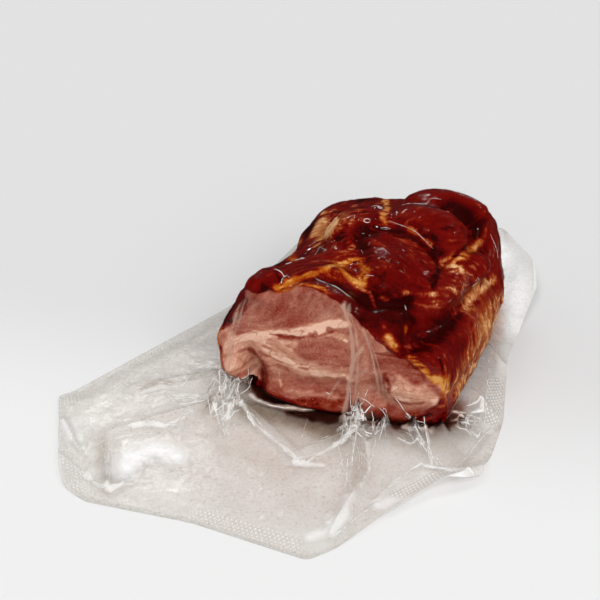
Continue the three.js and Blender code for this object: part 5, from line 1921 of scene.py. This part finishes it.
class Looks(bpy.types.PropertyGroup):
    crust_black: tint_property("Crust, black-red", "Deepest colour of the crust", (0.0287, 0.0006, 0.0003))
    crust_deep: tint_property("Crust, deep", "Dark red of the crust", (0.1074, 0.001, 0.0006))
    crust_red: tint_property("Crust, red", "Red-brown of the crust", (0.1701, 0.0032, 0.0013))
    crust_brown: tint_property("Crust, brown", "Warm brown of the fibres", (0.2344, 0.0204, 0.0064))
    crust_light: tint_property("Crust, light", "Light brown over fat", (0.3391, 0.0781, 0.025))
    skin_fat: tint_property("Skin fat", "Tan fat on the crust", (0.5368, 0.2104, 0.0809))
    skin_pale: tint_property("Skin fat, pale", "Palest fat on the crust", (0.8349, 0.5112, 0.2847))
    amber_brown: tint_property("Amber, brown", "Smoke-stained fat where thin", (0.34, 0.036, 0.0018))
    amber_gold: tint_property("Amber, gold", "Yellow-brown fat", (0.4689, 0.1209, 0.0047))
    amber_light: tint_property("Amber, light", "Lightest yellow fat", (0.66, 0.29, 0.045))
    # Darkest colour of the cut, also reached by the painted shade along the bottom rim and in the notch.
    face_black: tint_property("Cut, black-red", "Smoke and juice at the rim", (0.1011, 0.0028, 0.0014))
    face_brown: tint_property("Cut, brown", "Brown lines of the cut", (0.2298, 0.0182, 0.0054))
    lean_deep: tint_property("Lean, deep", "Deeper lean at the cut", (0.2718, 0.0515, 0.0287))
    lean: tint_property("Lean", "Pink lean at the cut", (0.3426, 0.0915, 0.0603))
    lean_light: tint_property("Lean, light", "Pale lean at the cut", (0.4175, 0.1392, 0.0915))
    face_mix: tint_property("Cut, mixed", "Lean and fat together", (0.5139, 0.2219, 0.1422))
    face_fat: tint_property("Cut fat", "Pale fat at the cut", (0.6438, 0.3228, 0.218))
    face_white: tint_property("Cut fat, white", "Palest fat at the cut", (0.8498, 0.5333, 0.4007))
    meat_roughness: share_property("Meat roughness", "Roughness of the wet meat", 0.4)
    meat_specular: share_property("Meat shine", "Strength of the meat's own shine", 0.03)
    film_tint: tint_property("Film tint", "What flat film lets through", (0.995, 0.985, 0.973))
    film_milk: tint_property("Film haze", "Milky colour of the film", (0.95, 0.92, 0.88))
    film_stain: tint_property("Film stain", "Meat juice dried on the film", (0.80, 0.68, 0.62))
    # Colour of the painted shade in folds and near the meat.
    fold_shade: tint_property("Fold shade", "What dark folds let through", (0.50, 0.42, 0.33))
    # The juice colours also tint the painted shadow under the meat's front lip.
    juice_thin: tint_property("Juice, thin", "What thin meat juice lets through", (0.52, 0.27, 0.2))
    juice: tint_property("Juice", "What meat juice lets through", (0.15, 0.036, 0.025))
    # The crease colours are also those of painted highlights: white on the film, warm over the meat.
    crease_white: tint_property("Crease white", "Light colour of the creases", (1.0, 0.995, 0.98))
    crease_warm: tint_property("Crease, warm", "Colour of creases over the meat", (0.86, 0.56, 0.42))
    crease_cover: share_property("Crease cover", "How solid the creases look", 0.75)
    apron_haze: share_property("Haze outside", "How milky the flat film is", 0.16)
    film_roughness: share_property("Film roughness", "Roughness of the film on the meat", 0.055)
    apron_roughness: share_property("Flat film roughness", "Roughness of film on the table", 0.18)
    film_ior: amount_property("Film IOR", "Refractive index of the film", 1.4, min=1)
    film_shine: share_property("Film shine", "Most that the film reflects at a flat angle", 0.12)
    emboss_scale: amount_property("Emboss scale", "Fineness of the seams' emboss", 200.0, min=1)


class StageSettings(bpy.types.PropertyGroup):
    azimuth: angle_property("Azimuth", "Camera's turn from straight in front", 16)
    elevation: angle_property("Elevation", "Camera's height angle", 32)
    distance: amount_property("Distance", "Camera to target", 0.62, unit="LENGTH")
    field_of_view: angle_property("Field of view", "Camera's angle of view", 27)
    floor: tint_property("Floor", "Colour of the floor in front", (0.88, 0.88, 0.88))
    # The floor at the back, darker by painted shade.
    floor_far: tint_property("Floor, far", "Colour of the floor at the back", (0.76, 0.76, 0.76))
    key: amount_property("Key light", "Strength of the light from the upper left", 0.5, min=0)
    fill: amount_property("Fill light", "Strength of the light from the front", 2.0, min=0)
    air: amount_property("Surroundings", "Strength of the even light around", 0.42, min=0)
    backdrop: amount_property("Backdrop", "Backdrop's brightness seen in the film", 0.03, min=0)
    softbox: amount_property("Softbox", "Power of the softbox, in watts", 0.25, min=0)


class BACONPACK_OT_block(bpy.types.Operator):
    """Build the block of smoked bacon"""
    bl_idname = "baconpack.block"
    bl_label = "Bacon block"

    def execute(self, context):
        scene = context.scene
        meat = build_meat(scene.bacon_meat, meat_material(scene.bacon_looks))
        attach(meat, "root")
        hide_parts("bacon")
        return {"FINISHED"}


class BACONPACK_OT_film(bpy.types.Operator):
    """Build the clear bag's film over and around the block"""
    bl_idname = "baconpack.film"
    bl_label = "Vacuum film"

    def execute(self, context):
        scene = context.scene
        meat = bpy.data.objects["bacon_block"]
        film = build_film(scene.bacon_film, film_material(scene.bacon_looks), meat)
        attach(film, "root")
        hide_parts("vacuum_bag")
        return {"FINISHED"}


class BACONPACK_OT_creases(bpy.types.Operator):
    """Lay the film's creases, strings and trapped rings on it"""
    bl_idname = "baconpack.creases"
    bl_label = "Film creases"

    def execute(self, context):
        film = bpy.data.objects["vacuum_film"]
        creases = build_creases(crease_material(context.scene.bacon_looks), film)
        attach(creases, "root")
        return {"FINISHED"}


class BACONPACK_OT_stage(bpy.types.Operator):
    """Set the plain pale floor, the soft lights and the camera"""
    bl_idname = "baconpack.stage"
    bl_label = "Stage"

    def execute(self, context):
        scene = context.scene
        stage = scene.bacon_stage
        floor = add_floor(stage)
        lamps = add_lamps(stage)
        scene.world = studio_world(stage)
        scene.view_settings.view_transform = "Standard"
        scene.camera = add_camera(stage)
        return {"FINISHED"}


class BACONPACK_PT_panel(bpy.types.Panel):
    bl_label = "Vacuum-packed bacon"
    bl_idname = "BACONPACK_PT_panel"
    bl_space_type = "VIEW_3D"
    bl_region_type = "UI"
    bl_category = "Bacon"

    def draw(self, context):
        for step in STEPS:
            self.layout.operator(step.bl_idname)


STEPS = (BACONPACK_OT_block, BACONPACK_OT_film, BACONPACK_OT_creases, BACONPACK_OT_stage)
GROUPS = {
    "bacon_meat": MeatSizes,
    "bacon_film": FilmSizes,
    "bacon_looks": Looks,
    "bacon_stage": StageSettings,
}


def register():
    for cls in (*GROUPS.values(), *STEPS, BACONPACK_PT_panel):
        bpy.utils.register_class(cls)
    for name, group in GROUPS.items():
        setattr(bpy.types.Scene, name, bpy.props.PointerProperty(type=group))


def unregister():
    for name in GROUPS:
        delattr(bpy.types.Scene, name)
    for cls in reversed((*GROUPS.values(), *STEPS, BACONPACK_PT_panel)):
        bpy.utils.unregister_class(cls)


def main():
    register()
    bpy.ops.baconpack.block()
    bpy.ops.baconpack.film()
    bpy.ops.baconpack.creases()
    bpy.ops.baconpack.stage()


if __name__ == "__main__":
    main()
